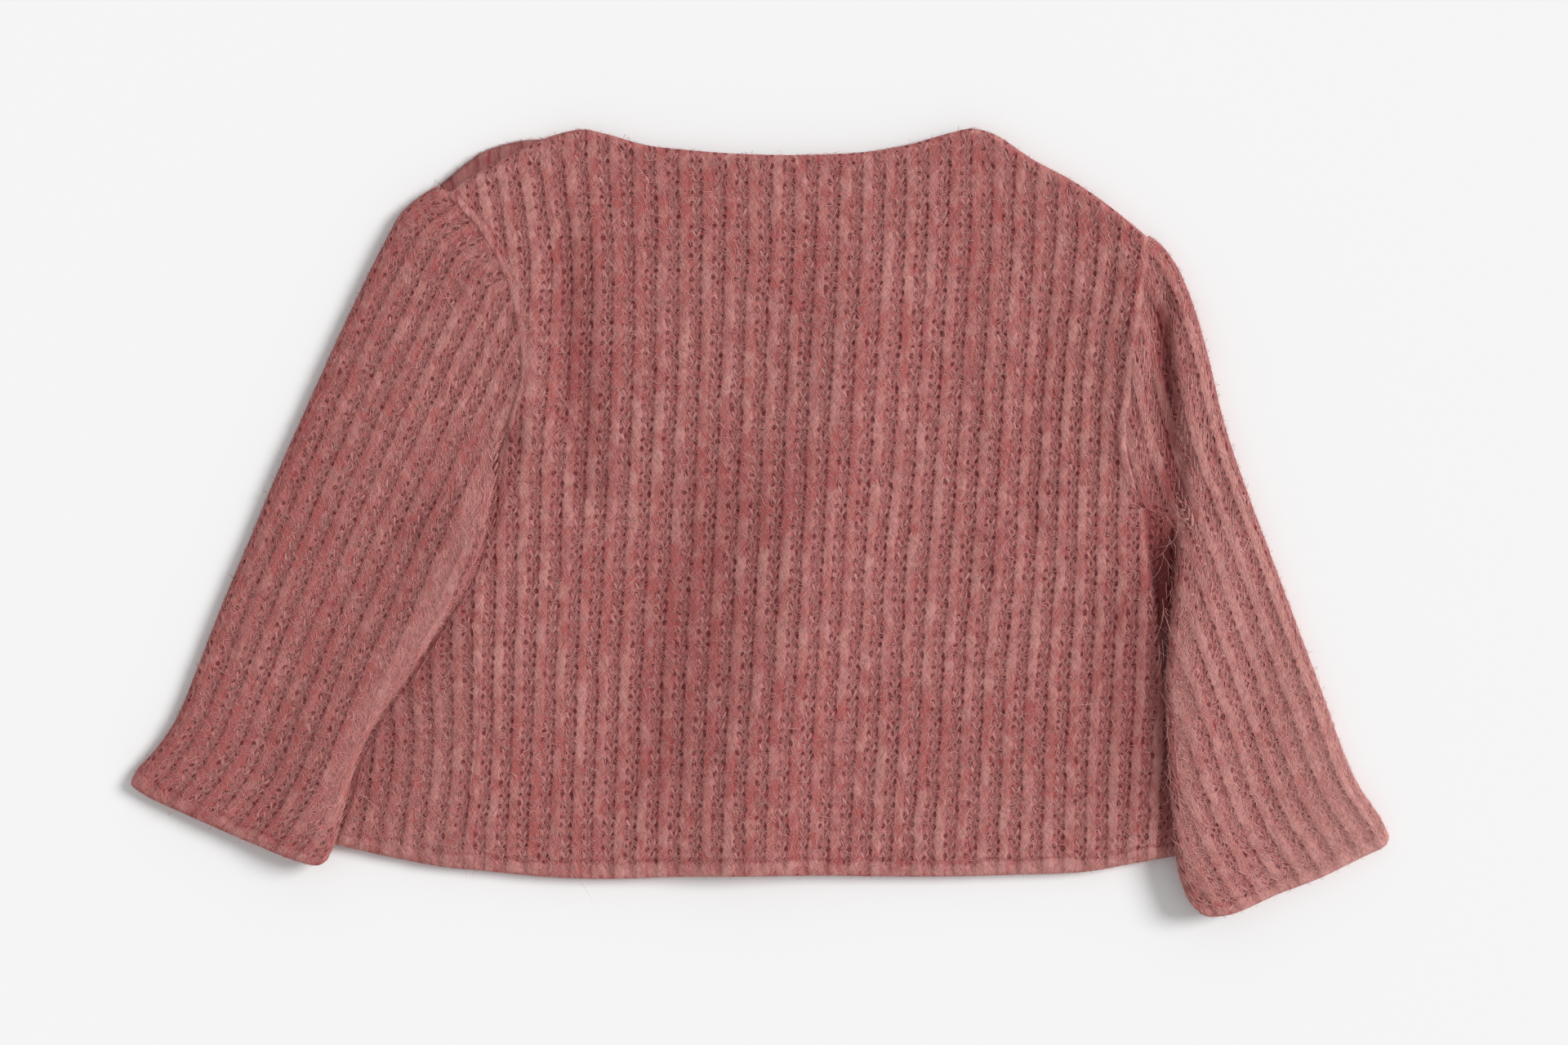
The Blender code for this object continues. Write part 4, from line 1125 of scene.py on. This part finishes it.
def yarn_finish(name, dark, light, sheen):
    """Matt yarn whose tone goes by unit from dark to light."""
    finish = bpy.data.materials.new(name)
    finish.use_nodes = True
    tree = finish.node_tree
    shader = tree.nodes["Principled BSDF"]
    tone = add(tree, "Attribute", attribute_name="tone", out="Fac")
    tree.links.new(blend(tree, tone, dark, light), shader.inputs["Base Color"])
    shader.inputs["Roughness"].default_value = 0.9
    shader.inputs["Specular IOR Level"].default_value = 0.15
    shader.inputs["Sheen Weight"].default_value = sheen
    return finish


stitch_yarn = yarn_finish("pink_stitch_yarn", "#954f4e", "#c8918b", 0.15)

lies_on = {"back": [], "front_left": [shoulder], "front_right": [], "sleeve_left": [],
           "sleeve_right": []}
front_grids = front_left_points, front_left_ribs, front_left_points[:, :, 1] / COURSE
for name, grids, numbers in (
        ("back", (back_points, back_ribs, back_points[:, :, 1] / COURSE), range(-15, 20)),
        ("sleeve_left", top_of_sleeve(*sleeves["sleeve_left"][:3]), range(1, 12)),
        ("sleeve_right", top_of_sleeve(*sleeves["sleeve_right"][:3]), range(-11, 0)),
        ("front_left", [grid[wraps, on_top] for grid in front_grids], range(-21, -12))):
    piece = stitch_legs(name + "_stitches", *grids, numbers, stitch_yarn)
    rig.ride(piece, "root")
    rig.slot(piece, "rib_knit")
    lies_on[name].append(piece)

# Nap
# Brushing draws fine fibres out of the yarn. They lie on the cloth in all directions, stand
# out a little round its edges, and leave a few long hairs on the inner sleeve and the hem.
NAP_LENGTH = 2.6        # usual length of a fibre
NAP_WIDTHS = (0.05, 0.085)  # least and most of half its width, wider than real so that it shows
NAP_FLOOR = 0.05        # least height of a fibre above the surface
nap_finish = yarn_finish("pale_pink_nap", "#a05c5a", "#daa39d", 0.1)


def on_grid(points, row, column):
    """Points between the rows and columns of a grid."""
    row = np.clip(row, 0, points.shape[0] - 1.001)
    column = np.clip(column, 0, points.shape[1] - 1.001)
    j, i = row.astype(int), column.astype(int)
    low = mix(points[j, i], points[j, i + 1], (column - i)[..., None])
    high = mix(points[j + 1, i], points[j + 1, i + 1], (column - i)[..., None])
    return mix(low, high, (row - j)[..., None])


def nap(name, points, count, finish):
    """Fibres of three small faces each, laid on a grid of points."""
    across = points[:-1, 1:] - points[:-1, :-1]
    ahead = points[1:, :-1] - points[:-1, :-1]
    normal = np.cross(across, ahead)
    area = np.linalg.norm(normal, axis=-1)
    chosen = yarn.choice(area.size, count, p=area.ravel() / area.sum())
    j, i = np.unravel_index(chosen, area.shape)
    normal = normal[j, i] / area[j, i][:, None]
    wide = np.linalg.norm(across[j, i], axis=1)
    high = np.linalg.norm(ahead[j, i], axis=1)
    # They lie more along the ribs than across; each has its own length, heading and bend
    length = yarn.lognormal(math.log(NAP_LENGTH), 0.4, count)
    heading = yarn.normal(math.pi / 2, 0.9, count)
    row, column = j + yarn.random(count), i + yarn.random(count)
    bend = yarn.normal(0, 0.35, count)
    spots = []
    for share, angle in ((0.0, 0.0), (0.5, -1.0), (1.0, 1.0)):
        turned = heading + bend * angle
        spots.append(on_grid(points, row + share * length * np.sin(turned) / high,
                             column + share * length * np.cos(turned) / wide))
    # One in eight stands up three times as far as the rest
    lift = np.abs(yarn.normal(0, 0.3, (count, 2)))
    lift *= np.where(yarn.random(count) < 0.12, 3, 1)[:, None]
    spots[0] = spots[0] + 0.05 * normal
    spots[1] = spots[1] + (0.15 + lift[:, [0]]) * normal
    spots[2] = spots[2] + (0.1 + lift[:, [1]]) * normal
    run = spots[2] - spots[0]
    size = np.linalg.norm(run, axis=1)
    out = np.cross(run, normal) / np.maximum(size, 1e-6)[:, None]
    out *= yarn.uniform(*NAP_WIDTHS, count)[:, None]
    units = np.stack([spots[0] - out, spots[0] + out, spots[1] + out, spots[1] - out, spots[2]], 1)
    units[:, :, 2] = np.maximum(units[:, :, 2], NAP_FLOOR)
    # Few are left down in the folds, and none that came out too short, long or bunched
    painted_shading_depth = painted_shading(spots[1][:, 0], spots[1][:, 1], name)
    kept = (size > 0.8) & (size < 9.0) & (area[j, i] > 0.01) & (yarn.random(count) > painted_shading_depth)
    # Painted highlight: the nap is paler towards the right; painted shade darkens it in the folds
    painted_light_on_right = 0.25 * ease((spots[1][:, 0] - 100) / 70)
    tone = np.clip(yarn.normal(0.5, 0.2, count) + painted_light_on_right, 0, 1) * (1 - 0.8 * painted_shading_depth)
    return many(name, units[kept], [(0, 1, 2, 3), (3, 2, 4)], tone[kept], finish)


for name, grid, count in (
        ("back", back_points, 50000),
        ("sleeve_left", sleeves["sleeve_left"][3], 20000),
        ("sleeve_right", sleeves["sleeve_right"][3], 15000),
        ("front_left", front_left_points[wraps, rolled], 7000),
        ("front_left_shoulder", strip[:-8][::-1].transpose(1, 0, 2), 2000)):
    piece = nap(name + "_nap", grid, count, nap_finish)
    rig.ride(piece, "root")
    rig.slot(piece, "rib_knit")
    lies_on[name.removesuffix("_shoulder")].append(piece)

HAIR_STEPS = 7
HAIR_LENGTH = 9.0       # usual length of a long hair
t = np.linspace(0, 1, HAIR_STEPS + 1)[None, :]
hairs = []
# Both ends of the line that they start from, mean heading in degrees, and count
for low_end, high_end, heading, count in (
        ((127.5, -40.0, 8.5), (131.5, 12.0, 8.0), -62, 70),
        ((131.5, -104.0, 9.5), (129.0, -42.0, 9.0), -58, 130),
        ((-120.0, -99.0, 5.5), (-60.0, -107.0, 5.5), -25, 45)):
    first = mix(np.array(low_end), np.array(high_end), yarn.random((count, 1)))
    first[:, 0] += yarn.normal(0, 1.6, count)
    turn = np.radians(heading + yarn.normal(0, 16, (count, 1))) + yarn.normal(0, 0.7, (count, 1)) * t
    length = yarn.lognormal(math.log(HAIR_LENGTH), 0.35, (count, 1)) / HAIR_STEPS
    x = first[:, [0]] + np.cumsum(length * np.cos(turn), axis=1)
    y = first[:, [1]] + np.cumsum(length * np.sin(turn), axis=1)
    z = first[:, [2]] + yarn.uniform(0.4, 2.0, (count, 1)) * np.sin(math.pi * t)
    path = np.stack([x, y, z], -1)
    wide = 0.045 * (1 - t ** 3)[..., None]
    across = np.stack([-np.sin(turn), np.cos(turn), 0 * turn], -1)
    hairs.append(np.stack([path - wide * across, path + wide * across], 2).reshape(count, -1, 3))
hairs = np.concatenate(hairs)
faces = [(2 * i, 2 * i + 1, 2 * i + 3, 2 * i + 2) for i in range(HAIR_STEPS)]
piece = many("long_hairs", hairs, faces, np.clip(yarn.normal(0.6, 0.15, len(hairs)), 0, 1),
             nap_finish)
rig.ride(piece, "root")
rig.slot(piece, "rib_knit")
lies_on["sleeve_right"].append(piece)

# Cut
# The knitted cloth that each piece was cut from, flat and before it was sewn: its greatest
# width and length and its area, and what lies on it.
for node, flat, area, held, below in (
        ("back", (0.236, 0.240), 0.0512, "laid", ["front_left", "front_right"]),
        ("front_left", (0.178, 0.240), 0.0290, "folded", ["floor", "front_right"]),
        ("front_right", (0.147, 0.236), 0.0262, "laid", ["floor"]),
        ("sleeve_left", (0.190, 0.212), 0.0262, "laid", ["floor", "back"]),
        ("sleeve_right", (0.140, 0.212), 0.0172, "laid", ["floor", "back"])):
    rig.sheet(bpy.data.objects[node + "_cloth"], flat=flat, area=area, held=held, rests_on=below,
             with_pieces=lies_on[node])

# Stage
# A floor of matt white paper, which takes a soft shadow, a camera straight above, and soft
# studio light: an even white room and one wide lamp, low on the right.
PIXEL = 0.26            # millimetres of the garment in one pixel of the frame
FRAME = (1920, 1279)    # pixels of the frame
MIDDLE = (931, 639)     # the pixel over the middle of the garment
CLOTH_LEVEL = 2.5       # height at which the garment has that scale
bpy.ops.mesh.primitive_plane_add(size=6.0, location=(0, 0, -0.0002))
floor = bpy.context.object
floor.name = "floor"
paper = bpy.data.materials.new("matt_white_paper")
paper.use_nodes = True
paper_shader = paper.node_tree.nodes["Principled BSDF"]
paper_shader.inputs["Base Color"].default_value = colour("#f4f4f4")
paper_shader.inputs["Roughness"].default_value = 0.9
floor.data.materials.append(paper)
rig.stage(floor)

camera_data = bpy.data.cameras.new("camera")
camera = bpy.data.objects.new("camera", camera_data)
bpy.context.scene.collection.objects.link(camera)
camera_data.lens = 85
camera_data.sensor_width = 36
width = FRAME[0] * PIXEL
height = camera_data.lens / camera_data.sensor_width * width + CLOTH_LEVEL
camera.location = Vector(((FRAME[0] / 2 - MIDDLE[0]) * PIXEL, (MIDDLE[1] - FRAME[1] / 2) * PIXEL,
                          height)) * MM
bpy.context.scene.camera = camera

world = bpy.data.worlds.new("studio")
bpy.context.scene.world = world
world.use_nodes = True
room = world.node_tree.nodes["Background"]
room.inputs["Color"].default_value = (1, 1, 1, 1)
room.inputs["Strength"].default_value = 0.52
bpy.context.scene.view_settings.view_transform = "Standard"

lamp_data = bpy.data.lights.new("key", "SUN")
lamp_data.energy = 2.45
lamp_data.angle = math.radians(24)
lamp = bpy.data.objects.new("key", lamp_data)
lamp.rotation_euler = (-Vector((1.0, 0.3, 0.85))).to_track_quat("-Z", "Y").to_euler()
bpy.context.scene.collection.objects.link(lamp)

low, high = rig.bounds()
with open("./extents.json", "w") as sizes:
    json.dump({"cad": [list(corner) for corner in cad_box],
               "visual": [list(low), list(high)]}, sizes)
